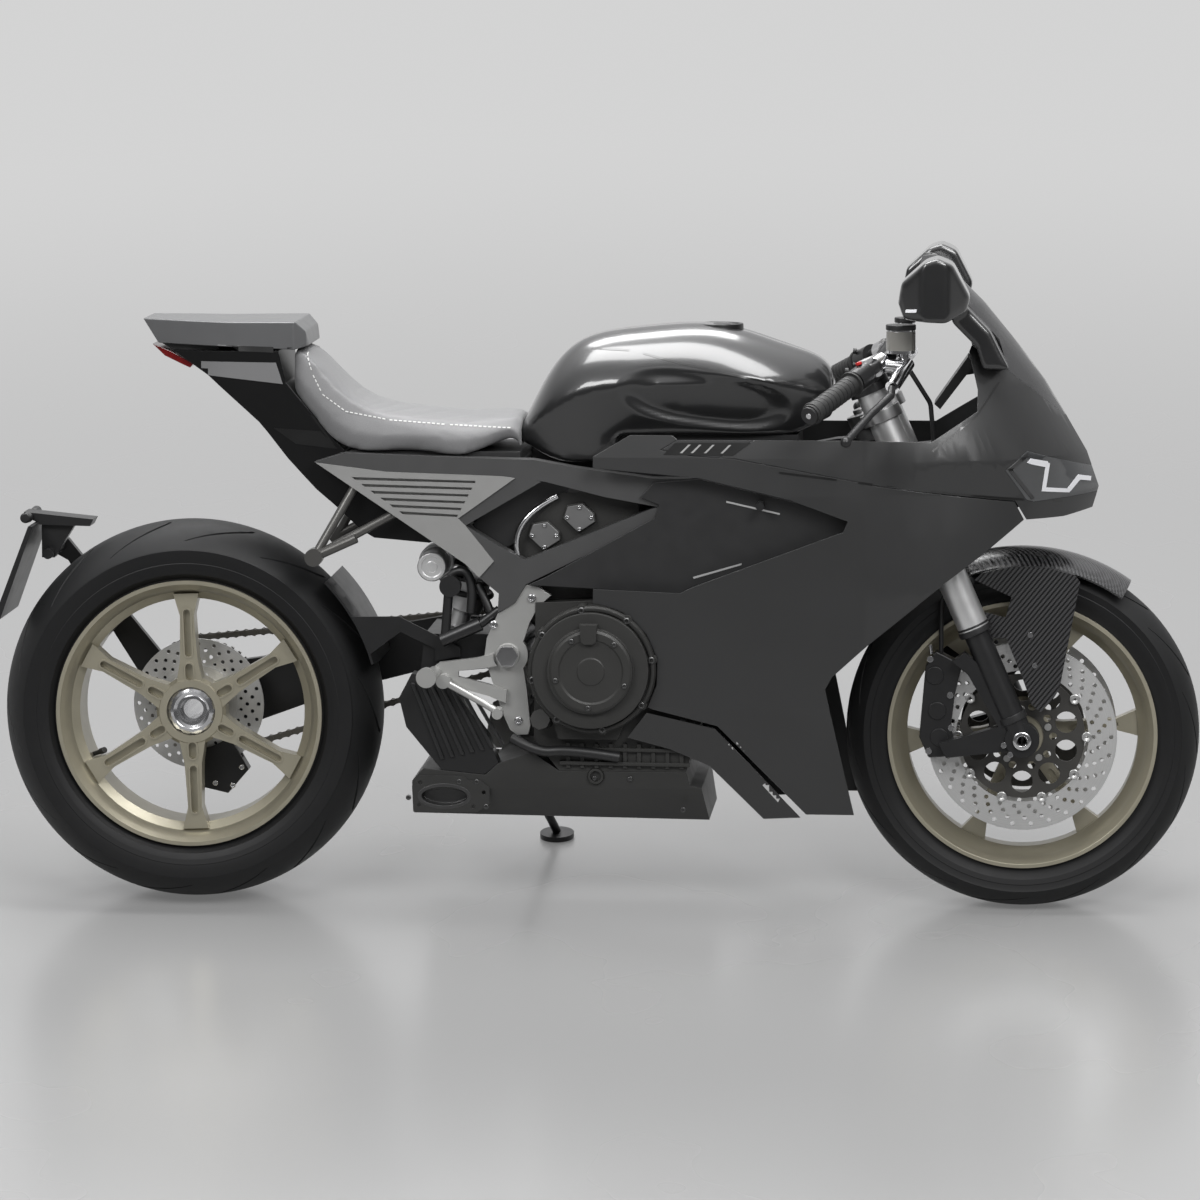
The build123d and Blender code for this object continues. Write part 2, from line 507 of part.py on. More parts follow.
# ================================================================ main frame
with BuildPart() as main_frame:
    for sign in (-1, 1):
        low, high = sorted((sign * BEAM_IN, sign * BEAM_OUT))
        plate([(277, 781), (540, 773), (596, 772), (669, 759), (798, 742), (850, 742), (850, 694), (806, 694),
               (717, 710), (617, 735), (543, 744), (349, 750), (226, 765)], low, high)
        plate([(482, 595), (505, 572), (538, 545), (536, 512), (565, 529), (584, 561), (830, 684), (830, 700),
               (794, 690), (582, 602), (543, 623), (482, 660), (610, 735), (570, 744), (470, 672)], low, high)
        with BuildSketch(Plane.XY.offset(690)) as beam_plan:
            with BuildLine():
                Polyline((849 * KX, sign * BEAM_IN), (849 * KX, sign * BEAM_OUT), (980 * KX, sign * (BEAM_OUT - 8)),
                         (1120 * KX, sign * 84), (1200 * KX, sign * 12), (1150 * KX, sign * 12),
                         (1090 * KX, sign * 62), (960 * KX, sign * BEAM_IN), close=True)
            make_face()
        extrude(beam_plan.sketch, amount=112)
    plate([(200, 800), (849, 800), (849, 742), (900, 745), (1100, 792), (1168, 800), (1202, 716), (1100, 690),
           (849, 694), (849, 500), (460, 500), (200, 700)], -160, 160, Mode.INTERSECT)
    rod(stem(HEAD_LOW), stem(HEAD_HIGH), 31)
    for x, z in ((330, 764), (560, 757), (820, 716)):
        pin(x * KX, z, -BEAM_IN - 5, BEAM_IN + 5, 12)
    rod(stem(HEAD_LOW - 8), stem(HEAD_HIGH + 8), STEM_R + 0.05, Mode.SUBTRACT)
pieces.append((main_frame, "main_frame"))

# champagne-grey triangular side panels with six louvre slots, hung under the seat rails
with BuildPart() as side_panels:
    for sign in (-1, 1):
        low, high = sorted((sign * (BEAM_OUT - 26), sign * (BEAM_OUT + 3)))
        plate([(229, 764.7), (349, 749.9), (543, 743.9), (566, 741), (470, 672), (482, 660), (530, 600), (505, 572),
               (482, 595)], low, high)
        for k in range(6):
            z = 741 - 11.5 * k
            low, high = sorted((sign * (BEAM_OUT - 6), sign * (BEAM_OUT + 4)))
            plate([(290 + 16 * k, z), (500 - 6 * k, z - 5), (498 - 6 * k, z - 9), (296 + 16 * k, z - 5)], low, high,
                  Mode.SUBTRACT)
    for sign in (-1, 1):
        low, high = sorted((sign * (BEAM_IN - 1), sign * BEAM_OUT))
        plate([(482, 595), (505, 572), (538, 545), (584, 561), (582, 602), (543, 623), (482, 660), (610, 735),
               (570, 744), (470, 672)], low, high, Mode.SUBTRACT)
    add(main_frame.part, mode=Mode.SUBTRACT)
pieces.append((side_panels, "side_panels"))

# the side stand's pin is set square to the swing from the deployed leg to the folded one
STAND_DROP = STAND_FOOT[1] * tan(radians(LEAN))
stand_pivot = Vector(STAND_PIVOT[0] * KX, STAND_PIVOT[1], STAND_PIVOT[2])
stand_foot = Vector(STAND_FOOT[0] * KX, STAND_FOOT[1], STAND_DROP)
stand_down = (stand_foot - stand_pivot).normalized()
stand_folded = Vector(-1, 0.1, 0.12).normalized()
stand_axis = stand_folded.cross(stand_down).normalized()
if stand_axis.Y < 0:
    stand_axis = -stand_axis
# pivot plates behind the engine, with the swingarm's hollow bolt; the left one stands outside the chain
# and carries the side stand's pin
PIVOT_OUTLINE = [(626, 542), (606, 556), (584, 560), (565, 529), (536, 511), (517, 468), (513, 438), (529, 386),
                 (544, 341), (556, 313), (568, 304), (587, 305), (591, 320), (585, 381), (578, 426), (578, 460),
                 (590, 496), (604, 522)]
# low and high y of each plate
PLATE_FACES = ((-146.0, -128.0), (150.0, 166.0))
with BuildPart() as pivot_plates:
    for low, high in PLATE_FACES:
        plate(PIVOT_OUTLINE, low, high)
        pin(PIVOT_X * KX, PIVOT_Z, low, high, 34)
        pin(571 * KX, 329, low - 1, high + 1, 5, Mode.SUBTRACT)
    plate([(500, 318), (544, 341), (556, 313), (587, 305), (560, 262), (540, 238), (500, 238), (488, 262)], 150, 158)
    rod(stand_pivot - stand_axis * 16, stand_pivot - stand_axis * 7, 19)
    rod(stand_pivot - stand_axis * 16, stand_pivot + stand_axis * 9, 6)
    rod(stand_pivot + stand_axis * 9, stand_pivot + stand_axis * 14, 11)
    pin(PIVOT_X * KX, PIVOT_Z, -160, 176, PIVOT_R)
    pin(PIVOT_X * KX, PIVOT_Z, -156, -146, 20)
    pin(PIVOT_X * KX, PIVOT_Z, 166, 174, 18)
    pin(PIVOT_X * KX, PIVOT_Z, -161, 177, 6, Mode.SUBTRACT)
    add(engine.part, mode=Mode.SUBTRACT)
    add(main_frame.part, mode=Mode.SUBTRACT)
pieces.append((pivot_plates, "pivot_plates"))

# single-sided swingarm: one deep arm on the left, a hub bearing the axle and a box ahead of the tyre
ARM_IN = REAR_TYRE_HALF + 6
ARM_OUT = 127.0
HUB_BEARING_R = 58.0
with BuildPart() as swingarm:
    plate([(-50, 350), (0, 384), (120, 402), (330, 458), (430, 476), (560, 470), (582, 440), (560, 412), (430, 392),
           (250, 345), (60, 275), (0, 268), (-50, 300)], ARM_IN, ARM_OUT)
    plate([(400, 404), (408, 470), (540, 470), (556, 464), (556, 416), (440, 404)], -104, ARM_IN + 5)
    pin(PIVOT_X * KX, PIVOT_Z, -126, 127, 27)
    pin(0, REAR_Z, 52, ARM_OUT, HUB_BEARING_R)
    pin(0, REAR_Z, 50, 130, REAR_AXLE_R + 0.05, Mode.SUBTRACT)
    pin(PIVOT_X * KX, PIVOT_Z, -130, 130, PIVOT_R, Mode.SUBTRACT)
pieces.append((swingarm, "swingarm"))

# rear caliper hung below the hub bearing, its slot around the disc
with BuildPart() as rear_caliper:
    plate([(6, 278), (44, 290), (88, 214), (52, 172), (8, 182), (4, 240)], 27, 60)
    ring(0, REAR_Z, [(35, 0), (35, REAR_DISC_R + 6), (50, REAR_DISC_R + 6), (50, 0)], Mode.SUBTRACT)
    ring(0, REAR_Z, [(20, 0), (20, 76), (35, 76), (35, 0)], Mode.SUBTRACT)
    pin(0, REAR_Z, 50, 61, HUB_BEARING_R, Mode.SUBTRACT)
pieces.append((rear_caliper, "rear_caliper"))

# shock absorber standing between the arm and a frame cross tube, its reservoir lying across behind it
with BuildPart() as shock_absorber:
    rod((452 * KX, 0, 470), (545 * KX, 0, 745), 18)
    rod((462 * KX, 0, 500), (528 * KX, 0, 694), 32)
    pin(421 * KX, 585, -112, 10, 25)
    pin(421 * KX, 585, -40, 10, 30)
    plate([(421, 575), (500, 575), (500, 600), (421, 600)], -14, 10)
    pin(560 * KX, 757, -30, 30, 12, Mode.SUBTRACT)
    add(swingarm.part, mode=Mode.SUBTRACT)
    add(engine.part, mode=Mode.SUBTRACT)
pieces.append((shock_absorber, "shock_absorber"))

# hugger over the front of the rear tyre with a carbon guard on the right
HUGGER_R = REAR_TYRE_R + 12
with BuildPart() as hugger:
    ring(0, REAR_Z, [(-112, HUGGER_R - 8), (-80, HUGGER_R), (80, HUGGER_R), (ARM_IN, HUGGER_R - 4),
                     (ARM_IN, HUGGER_R), (80, HUGGER_R + 4), (-80, HUGGER_R + 4), (-112, HUGGER_R - 4)])
    with BuildSketch(Plane.XZ.offset(-200)):
        with BuildLine():
            Polyline((0, REAR_Z), (500 * cos(radians(16)), REAR_Z + 500 * sin(radians(16))),
                     (500 * cos(radians(44)), REAR_Z + 500 * sin(radians(44))), close=True)
        make_face()
    extrude(amount=400, mode=Mode.INTERSECT)
    plate([(284, 499), (365, 500), (469, 448), (469, 433), (426, 424), (426, 446), (367, 474), (314, 434), (300, 466)],
          -114, -110)
    add(swingarm.part, mode=Mode.SUBTRACT)
pieces.append((hugger, "hugger"))

# plate holder reaching round the left of the tyre
with BuildPart() as plate_holder:
    plate([(-30, 352), (-64, 392), (-200, 560), (-236, 604), (-262, 604), (-262, 580), (-236, 566), (-176, 470),
           (-100, 350), (-50, 310)], ARM_IN, ARM_OUT - 3)
    pin(0, REAR_Z, 50, 130, HUB_BEARING_R, Mode.SUBTRACT)
    pin(-249 * KX, 592, -30, ARM_IN, 9)
    plate([(-262, 644), (-205, 640), (-240, 584), (-262, 584)], -12, 12)
    plate([(-290, 664), (-170, 652), (-176, 640), (-262, 642), (-268, 646.5), (-290, 656)], -26, 26)
    plate([(-272, 646), (-264, 646), (-322, 486), (-332, 490)], -92, 92)
pieces.append((plate_holder, "plate_holder"))

# ================================================================ belly and covers
with BuildPart() as exhaust_box:
    plate([(349, 179), (409, 246), (514, 236), (537, 256), (594, 276), (640, 243.9), (855, 243.9), (862, 221),
           (881, 217), (893, 158), (359, 166)], -150, 150)
    with BuildSketch(Plane.YZ.offset(330)) as belly_front_view:
        with BuildLine():
            Polyline((-150, 300), (-150, 215), (-112, 150), (112, 150), (150, 215), (150, 300), close=True)
        make_face()
    extrude(belly_front_view.sketch, amount=600, mode=Mode.INTERSECT)
    with BuildSketch(Plane.XZ.offset(110)):
        with Locations((445 * KX, 196)):
            Ellipse(40, 14)
    extrude(amount=60, mode=Mode.SUBTRACT)
pieces.append((exhaust_box, "exhaust_box"))

# ribbed cover over the exhaust's rear bend
with BuildPart() as ribbed_cover:
    plate([(390, 408), (368, 366), (380, 316), (440, 243), (513, 236.1), (537, 256), (520, 300), (450, 396)],
          -148, -108)
    add(exhaust_box.part, mode=Mode.SUBTRACT)
pieces.append((ribbed_cover, "ribbed_cover"))

# radiator leaning behind the front wheel
with BuildPart() as radiator:
    plate([(1012, 612), (1052, 622), (1096, 400), (1056, 388)], -150, 150)
    plate([(975, 440), (1060, 440), (1060, 470), (975, 470)], -60, 60)
    add(engine.part, mode=Mode.SUBTRACT)
pieces.append((radiator, "radiator"))

# ================================================================ fairings
# One thin envelope wraps the front of the machine; every panel is a piece of it.
# Each row: height z, half-width at the rear edge, half-width abreast of the fork, the shoulder point, the nose.
ENVELOPE = (
    (130, 122, 126, (1330, 92), 1420),
    (360, 184, 190, (1380, 128), 1480),
    (560, 190, 200, (1420, 138), 1520),
    (660, 192, 201, (1436, 126), 1528),
    (720, 194, 200, (1452, 114), 1546),
    (780, 190, 195, (1452, 116), 1525),
    (840, 182, 184, (1418, 116), 1490),
    (900, 172, 165, (1386, 112), 1454),
    (960, 165, 150, (1346, 106), 1409),
    (1030, 150, 130, (1300, 92), 1352),
    (1112, 140, 105, (1232, 66), 1268),
)


def envelope(thick):
    """Lofts the wrap-round shell of the given thickness into the open part."""
    sections = []
    for z, rear, middle, shoulder, nose in ENVELOPE:
        x_rear = 700 * KX
        x_mid = 1150 * KX
        x_sh = shoulder[0] * KX
        y_sh = shoulder[1]
        x_nose = nose * KX
        with BuildSketch(Plane.XY.offset(z)) as section:
            with BuildLine():
                Line((x_rear, -rear), (x_mid, -middle))
                ThreePointArc((x_mid, -middle), (x_sh, -y_sh), (x_nose, 0))
                ThreePointArc((x_nose, 0), (x_sh, y_sh), (x_mid, middle))
                Line((x_mid, middle), (x_rear, rear))
                Line((x_rear, rear), (x_rear, rear - thick))
                Line((x_rear, rear - thick), (x_mid, middle - thick))
                ThreePointArc((x_mid, middle - thick), (x_sh - thick * 0.7, y_sh - thick * 0.7), (x_nose - thick, 0))
                ThreePointArc((x_nose - thick, 0), (x_sh - thick * 0.7, thick * 0.7 - y_sh), (x_mid, thick - middle))
                Line((x_mid, thick - middle), (x_rear, thick - rear))
                Line((x_rear, thick - rear), (x_rear, -rear))
            make_face()
        sections.append(section.sketch)
    loft(sections, ruled=True)


with BuildPart() as shell:
    envelope(SKIN)

with BuildPart() as nose_core:
    core_sections = []
    for z, rear, middle, shoulder, nose in ENVELOPE:
        with BuildSketch(Plane.XY.offset(z)) as section:
            with BuildLine():
                Line((700 * KX, rear), (700 * KX, -rear))
                Line((700 * KX, -rear), (1150 * KX, -middle))
                ThreePointArc((1150 * KX, -middle), (shoulder[0] * KX, -shoulder[1]), (nose * KX, 0))
                ThreePointArc((nose * KX, 0), (shoulder[0] * KX, shoulder[1]), (1150 * KX, middle))
                Line((1150 * KX, middle), (700 * KX, rear))
            make_face()
        core_sections.append(section.sketch)
    loft(core_sections, ruled=True)

with BuildPart() as thick_shell:
    envelope(26)

FAIRING = [(591, 563), (846, 553), (868, 564), (1119, 659), (1127, 677), (1030, 712), (880, 747), (672, 765),
           (762, 818), (833, 818), (841, 811), (813, 794), (863, 784), (935, 780), (1180, 736), (1404, 707),
           (1420, 676), (1353, 622), (1286, 572), (1161, 468), (1102, 414), (1090, 392), (1138, 172), (1057, 172),
           (909, 327), (801, 355), (792, 359), (807, 398), (808, 440), (790, 483), (750, 520), (714, 532), (670, 540)]
with BuildPart() as side_fairings:
    plate(FAIRING, -260, 260)
    add(shell.part, mode=Mode.INTERSECT)
pieces.append((side_fairings, "side_fairings"))

with BuildPart() as fairing_strips:
    plate([(790, 350), (905, 323), (1048, 166), (985, 163), (895, 256), (829, 285), (756, 305)], -260, 260)
    add(shell.part, mode=Mode.INTERSECT)
pieces.append((fairing_strips, "fairing_strips"))

# dark inner panels on the frame's outer faces, filling the gap ahead of the frame's window
INNER_PANEL = [(588, 561), (617, 574), (802, 676), (809, 698), (777, 711), (800, 735), (878, 742), (1029, 706),
               (1124, 680), (1130, 656), (866, 560), (844, 548)]
with BuildPart() as inner_panels:
    for sign in (-1, 1):
        low, high = sorted((sign * (BEAM_OUT + 0.1), sign * (BEAM_OUT + 8)))
        plate(INNER_PANEL, low, high)
with BuildPart() as vent_strips:
    plate([(815, 794.5), (841, 810.5), (969, 811), (910, 781.5), (864, 784.5)], -260, 260)
    add(shell.part, mode=Mode.INTERSECT)
with BuildPart() as inner_trim:
    add(inner_panels.part)
    add(vent_strips.part)
pieces.append((inner_trim, "inner_panels"))

COWL = [(936, 781), (1180, 737), (1405, 709), (1424, 676), (1487, 676), (1570, 690), (1570, 744),
        (1500, 832), (1392, 922), (1362, 948), (1330, 966), (1326, 956), (1341, 895), (1341, 859), (1266, 811),
        (1219, 811), (970, 811), (911, 781.5)]
HEADLIGHT = [(1388, 761), (1424, 792), (1570, 744), (1570, 713), (1436, 705), (1424, 709)]
SCREEN = [(1500, 832), (1392, 922), (1376, 972), (1321, 1033), (1285, 1058), (1240, 1095), (1250, 1120), (1600, 1120),
          (1600, 832)]
with BuildPart() as nose_cowl:
    plate(COWL, -260, 260)
    plate(HEADLIGHT, -261, 261, Mode.SUBTRACT)
    add(shell.part, mode=Mode.INTERSECT)
pieces.append((nose_cowl, "nose_cowl"))

with BuildPart() as headlight:
    plate(HEADLIGHT, -260, 260)
    add(thick_shell.part, mode=Mode.INTERSECT)
pieces.append((headlight, "headlight"))

with BuildPart() as windscreen:
    plate(SCREEN, -260, 260)
    add(shell.part, mode=Mode.INTERSECT)
pieces.append((windscreen, "windscreen"))

# headlight housing and the stay that carries nose, dash and mirrors from the head tube
with BuildPart() as fairing_stay:
    plate([(1186, 745), (1186, 785), (1330, 800), (1352, 862), (1352, 940), (1364, 940), (1364, 862), (1350, 795),
           (1420, 786), (1500, 760), (1500, 716), (1420, 716), (1330, 760)], -24, 24)
    plate([(1400, 716), (1400, 786), (1430, 786), (1430, 716)], -92, 92)
    plate([(1323, 941), (1335, 929), (1277, 852), (1267, 861)], -44, 44)
    plate([(1316, 922), (1326, 932), (1356, 932), (1356, 914), (1318, 908)], -18, 18)
    add(headlight.part, mode=Mode.SUBTRACT)
    rod(stem(HEAD_LOW), stem(HEAD_HIGH), 31, Mode.SUBTRACT)

# mirrors: faceted pods, each on a broad arm rising from the cowl beside the screen
MIRROR = [(1209, 1044), (1214, 1077), (1255, 1114), (1275, 1120), (1300, 1109), (1329, 1053), (1322, 1030),
          (1288, 1012), (1219, 1016)]
MIRROR_IN = 146.0
MIRROR_OUT = 258.0
with BuildPart() as mirrors:
    for sign in (-1, 1):
        low, high = sorted((sign * MIRROR_IN, sign * MIRROR_OUT))
        plate(MIRROR, low, high)
    plan_cut([(1170, -190), (1250, -MIRROR_OUT - 1), (1290, -MIRROR_OUT - 1), (1340, -210), (1340, 210),
              (1290, MIRROR_OUT + 1), (1250, MIRROR_OUT + 1), (1170, 190)], 900, 1200)
    for sign in (-1, 1):
        low, high = sorted((sign * 84, sign * (MIRROR_IN + 8)))
        plate([(1296, 1008), (1320, 1035), (1361, 993), (1379, 957), (1395, 928), (1350, 928), (1338, 966)], low, high)
    add(nose_core.part, mode=Mode.SUBTRACT)
pieces.append((mirrors, "mirrors"))

# brackets from the frame, engine and radiator out to the panels
BRACKETS = ((980, 700, 138, 197), (1060, 500, 148, 193), (1045, 590, 148, 196), (1080, 420, 148, 189),
            (850, 330, 112, 176))
with BuildPart() as panel_brackets:
    for x, z, start, end in BRACKETS:
        for sign in (-1, 1):
            rod((x * KX, sign * start, z), (x * KX, sign * end, z), 7)
    add(shell.part, mode=Mode.SUBTRACT)
    add(inner_panels.part, mode=Mode.SUBTRACT)
    add(main_frame.part, mode=Mode.SUBTRACT)
    add(radiator.part, mode=Mode.SUBTRACT)
    add(engine.part, mode=Mode.SUBTRACT)
with BuildPart() as fairing_stays:
    add(fairing_stay.part)
    add(panel_brackets.part)
pieces.append((fairing_stays, "fairing_stays"))

# ================================================================ tank, seat and tail
TANK_FLOOR = 812.0
# x, floor half-width, floor z, shoulder half-width, shoulder z, top z
TANK_ROWS = (
    (562, 66, 796, 72, 806, 819),
    (606, 96, 778, 106, 846, 896),
    (671, 112, 764, 128, 886, 965),
    (797, 112, 790, 144, 900, 989),
    (910, 112, 800, 144, 905, 989),
    (1005, 104, 806, 126, 903, 961),
    (1064, 84, 826, 94, 886, 941),
    (1097, 62, 842, 68, 878, 910),
)
with BuildPart() as fuel_tank:
    for x, floor_half, floor_z, half, shoulder_z, top_z in TANK_ROWS:
        with BuildSketch(Plane.YZ.offset(x * KX)):
            with BuildLine():
                Line((-floor_half, floor_z), (floor_half, floor_z))
                Line((floor_half, floor_z), (half, shoulder_z))
                ThreePointArc((half, shoulder_z), (half * 0.66, top_z - (top_z - shoulder_z) * 0.28), (0, top_z))
                ThreePointArc((0, top_z), (-half * 0.66, top_z - (top_z - shoulder_z) * 0.28), (-half, shoulder_z))
                Line((-half, shoulder_z), (-floor_half, floor_z))
            make_face()
    loft()
    plate([(736, 700), (1200, 700), (1200, TANK_FLOOR), (736, TANK_FLOOR)], -200, 200, Mode.SUBTRACT)
pieces.append((fuel_tank, "fuel_tank"))

# airbox between the beams, under the tank
with BuildPart() as airbox:
    plate([(738, TANK_FLOOR), (738, 712), (800, 702), (960, 712), (1040, 750), (1040, TANK_FLOOR)], -96, 96)
    pin(820 * KX, 716, -100, 100, 12, Mode.SUBTRACT)
    add(engine.part, mode=Mode.SUBTRACT)
    add(main_frame.part, mode=Mode.SUBTRACT)
pieces.append((airbox, "airbox"))

with BuildPart() as tail_top:
    plate([(-76, 1000), (-49, 959), (188, 951), (210, 957), (205, 982), (189, 998), (60, 997)], -120, 120)
    plan_cut([(-90, -56), (-90, 56), (0, 82), (90, 98), (186, 104), (206, 88), (216, 50), (216, -50), (206, -88),
              (186, -104), (90, -98), (0, -82)], 900, 1050)
pieces.append((tail_top, "tail_top"))

with BuildPart() as tail_inset:
    plate([(-24, 946), (-49, 959), (188, 951), (160, 949)], -74, 74)
    plan_cut([(-60, -44), (-60, 44), (0, 66), (200, 74), (200, -74), (0, -66)], 900, 1050)
pieces.append((tail_inset, "tail_inset"))

with BuildPart() as tail_body:
    plate([(-24, 946), (37, 906), (126, 828), (140, 812), (176, 767), (225, 715), (257, 688), (301, 647), (323, 634),
           (417, 626), (430, 630), (230, 764), (228, 765), (277, 781), (273, 782), (243, 814), (173, 896), (160, 949)],
          -140, 140)
    plan_cut([(-60, -54), (-60, 54), (60, 88), (200, 108), (300, 113), (440, 113), (440, -113), (300, -113),
              (200, -108), (60, -88)], 600, 1000)
    pin(330 * KX, 764, -150, 150, 12, Mode.SUBTRACT)
    add(side_panels.part, mode=Mode.SUBTRACT)
    add(main_frame.part, mode=Mode.SUBTRACT)
pieces.append((tail_body, "tail_body"))

with BuildPart() as tail_lamp:
    plate([(-62, 956), (-30, 944), (10, 923), (4, 916), (-40, 936)], -60, 60)
    plan_cut([(-80, -46), (-80, 46), (20, 66), (20, -66)], 900, 1000)
    add(tail_body.part, mode=Mode.SUBTRACT)
    add(tail_inset.part, mode=Mode.SUBTRACT)
    add(tail_top.part, mode=Mode.SUBTRACT)
pieces.append((tail_lamp, "tail_lamp"))

with BuildPart() as seat_pan:
    plate([(282, 772), (282, 782), (572, 782), (572, 764), (560, 772)], -BEAM_IN + 0.1, BEAM_IN - 0.1)
    for x, z in ((330, 764), (560, 757)):
        pin(x * KX, z, -150, 150, 12, Mode.SUBTRACT)
pieces.append((seat_pan, "seat_pan"))

# x, floor half-width, floor z, side half-width, side z, edge half-width, edge z, crown z
SEAT_ROWS = (
    (186, 88, 885, 92, 915, 84, 948, 954),
    (216, 106, 842, 110, 876, 98, 934, 942),
    (248, 116, 808, 120, 842, 106, 900, 908),
    (290, 128, 786, 130, 818, 114, 864, 872),
    (340, 133, 784, 135, 812, 118, 844, 852),
    (410, 134, 784, 136, 812, 118, 834, 843),
    (500, 124, 784, 126, 810, 104, 830, 839),
    (571, 102, 784, 104, 808, 80, 827, 836),
)
with BuildPart() as seat:
    for x, floor_half, floor_z, half, side_z, edge_half, edge_z, crown_z in SEAT_ROWS:
        with BuildSketch(Plane.YZ.offset(x * KX)):
            with BuildLine():
                Polyline((-edge_half, edge_z), (-half, side_z), (-floor_half, floor_z), (floor_half, floor_z),
                         (half, side_z), (edge_half, edge_z))
                ThreePointArc((edge_half, edge_z), (0, crown_z), (-edge_half, edge_z))
            make_face()
    loft()
    add(tail_body.part, mode=Mode.SUBTRACT)
    add(tail_top.part, mode=Mode.SUBTRACT)
    add(tail_inset.part, mode=Mode.SUBTRACT)
    add(fuel_tank.part, mode=Mode.SUBTRACT)
    add(seat_pan.part, mode=Mode.SUBTRACT)
pieces.append((seat, "seat"))

# ================================================================ footrests, controls and stand
# sign of the side, y of the plate face that carries the hanger
HANGERS = ((-1, 146.0), (1, 166.0))
with BuildPart() as footrests:
    for sign, face in HANGERS:
        low, high = sorted((sign * face, sign * (face + 12)))
        plate([(548, 448), (500, 436), (438, 428), (418, 412), (428, 394), (460, 388), (520, 372), (550, 360),
               (552, 382), (520, 392), (470, 404), (470, 414), (520, 420), (548, 426)], low, high)
        pin(PIVOT_X * KX, PIVOT_Z, low - 1, high + 1, 24, Mode.SUBTRACT)
        rod((430 * KX, sign * (face + 12), 411), (424 * KX, sign * (face + 82), 412), 11)
        rod((424 * KX, sign * (face + 82), 412), (423 * KX, sign * (face + 92), 412), 17)
    add(ribbed_cover.part, mode=Mode.SUBTRACT)
pieces.append((footrests, "footrests"))

with BuildPart() as foot_controls:
    for sign, face in HANGERS:
        rod((446 * KX, sign * (face + 12), 398), (446 * KX, sign * (face + 34), 398), 12)
        rod((446 * KX, sign * (face + 28), 398), (512 * KX, sign * (face + 34), 364), 6)
        rod((512 * KX, sign * (face + 34), 364), (540 * KX, sign * (face + 38), 348), 6)
        with Locations((512 * KX, sign * (face + 34), 364)):
            Sphere(6)
        rod((540 * KX, sign * (face + 30), 348), (540 * KX, sign * (face + 64), 348), 9)
    add(footrests.part, mode=Mode.SUBTRACT)
pieces.append((foot_controls, "foot_controls"))

with BuildPart() as passenger_pegs:
    for sign in (-1, 1):
        rod((228 * KX, sign * 158, 607), (228 * KX, sign * 186, 607), 15)
        rod((228 * KX, sign * 166, 607), (294 * KX, sign * 138, 724), 7.5)
        rod((228 * KX, sign * 166, 607), (364 * KX, sign * 138, 680), 7.5)
        rod((228 * KX, sign * 172, 607), (300 * KX, sign * 178, 640), 8)
    add(side_panels.part, mode=Mode.SUBTRACT)
    add(tail_body.part, mode=Mode.SUBTRACT)
pieces.append((passenger_pegs, "passenger_peg_brackets"))

with BuildPart() as rear_master:
    rod((440 * KX, -137, 463), (506 * KX, -137, 492), 12)
    rod((506 * KX, -137, 492), (538 * KX, -137, 516), 8)
    rod((446 * KX, -137, 470), (452 * KX, -137, 548), 8)
    pin(455 * KX, 556, -148, -126, 18)
    add(pivot_plates.part, mode=Mode.SUBTRACT)
    add(main_frame.part, mode=Mode.SUBTRACT)
    add(side_panels.part, mode=Mode.SUBTRACT)
pieces.append((rear_master, "rear_master_cylinder"))

# side stand: an eye on the pin, the leg and a round foot flat on the ground
with BuildPart() as side_stand:
    rod(stand_pivot - stand_axis * 6.5, stand_pivot + stand_axis * 8.5, 17)
    rod(stand_pivot + stand_down * 13 + stand_axis * 2, stand_foot + Vector(0, -2, 10), 7.5)
    rod(stand_foot + Vector(0, 0, 0), stand_foot + Vector(0, -sin(radians(LEAN)) * 9, cos(radians(LEAN)) * 9), 30)
    rod(stand_pivot - stand_axis * 20, stand_pivot - stand_axis * 6.5, 30, Mode.SUBTRACT)
    rod(stand_pivot - stand_axis * 20, stand_pivot + stand_axis * 20, 6.05, Mode.SUBTRACT)
pieces.append((side_stand, "side_stand"))

# ================================================================ the stance and the files
def crown_radius(half, radius, shoulder):
    """Radius of a tyre's crown arc between its shoulders."""
    drop = radius - shoulder
    return (half * half + drop * drop) / (2 * drop)


SINK = 1 - cos(radians(LEAN))
REAR_LIFT = crown_radius(REAR_TYRE_HALF, REAR_TYRE_R, REAR_SHOULDER_R) * SINK
FRONT_LIFT = crown_radius(FRONT_TYRE_HALF, FRONT_TYRE_R, FRONT_SHOULDER_R) * SINK
PITCH = degrees(atan2(REAR_LIFT - FRONT_LIFT, WHEELBASE))
stance = Location((0, 0, REAR_LIFT)) * Rotation(0, PITCH, 0) * Rotation(-LEAN, 0, 0)

leaned = [(stance * piece.part, name) for piece, name in pieces]
boxes = [solid.bounding_box() for solid, name in leaned]
CENTRE_X = (min(box.min.X for box in boxes) + max(box.max.X for box in boxes)) / 2
CENTRE_Y = (min(box.min.Y for box in boxes) + max(box.max.Y for box in boxes)) / 2
GROUND = min(box.min.Z for box in boxes)
to_origin = Location((-CENTRE_X, -CENTRE_Y, -GROUND))

for solid, name in leaned:
    placed = to_origin * solid
    placed.label = name
    export_step(placed, f"parts/{name}.step")
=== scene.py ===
import bpy
import json
import math
from mathutils import Matrix, Vector


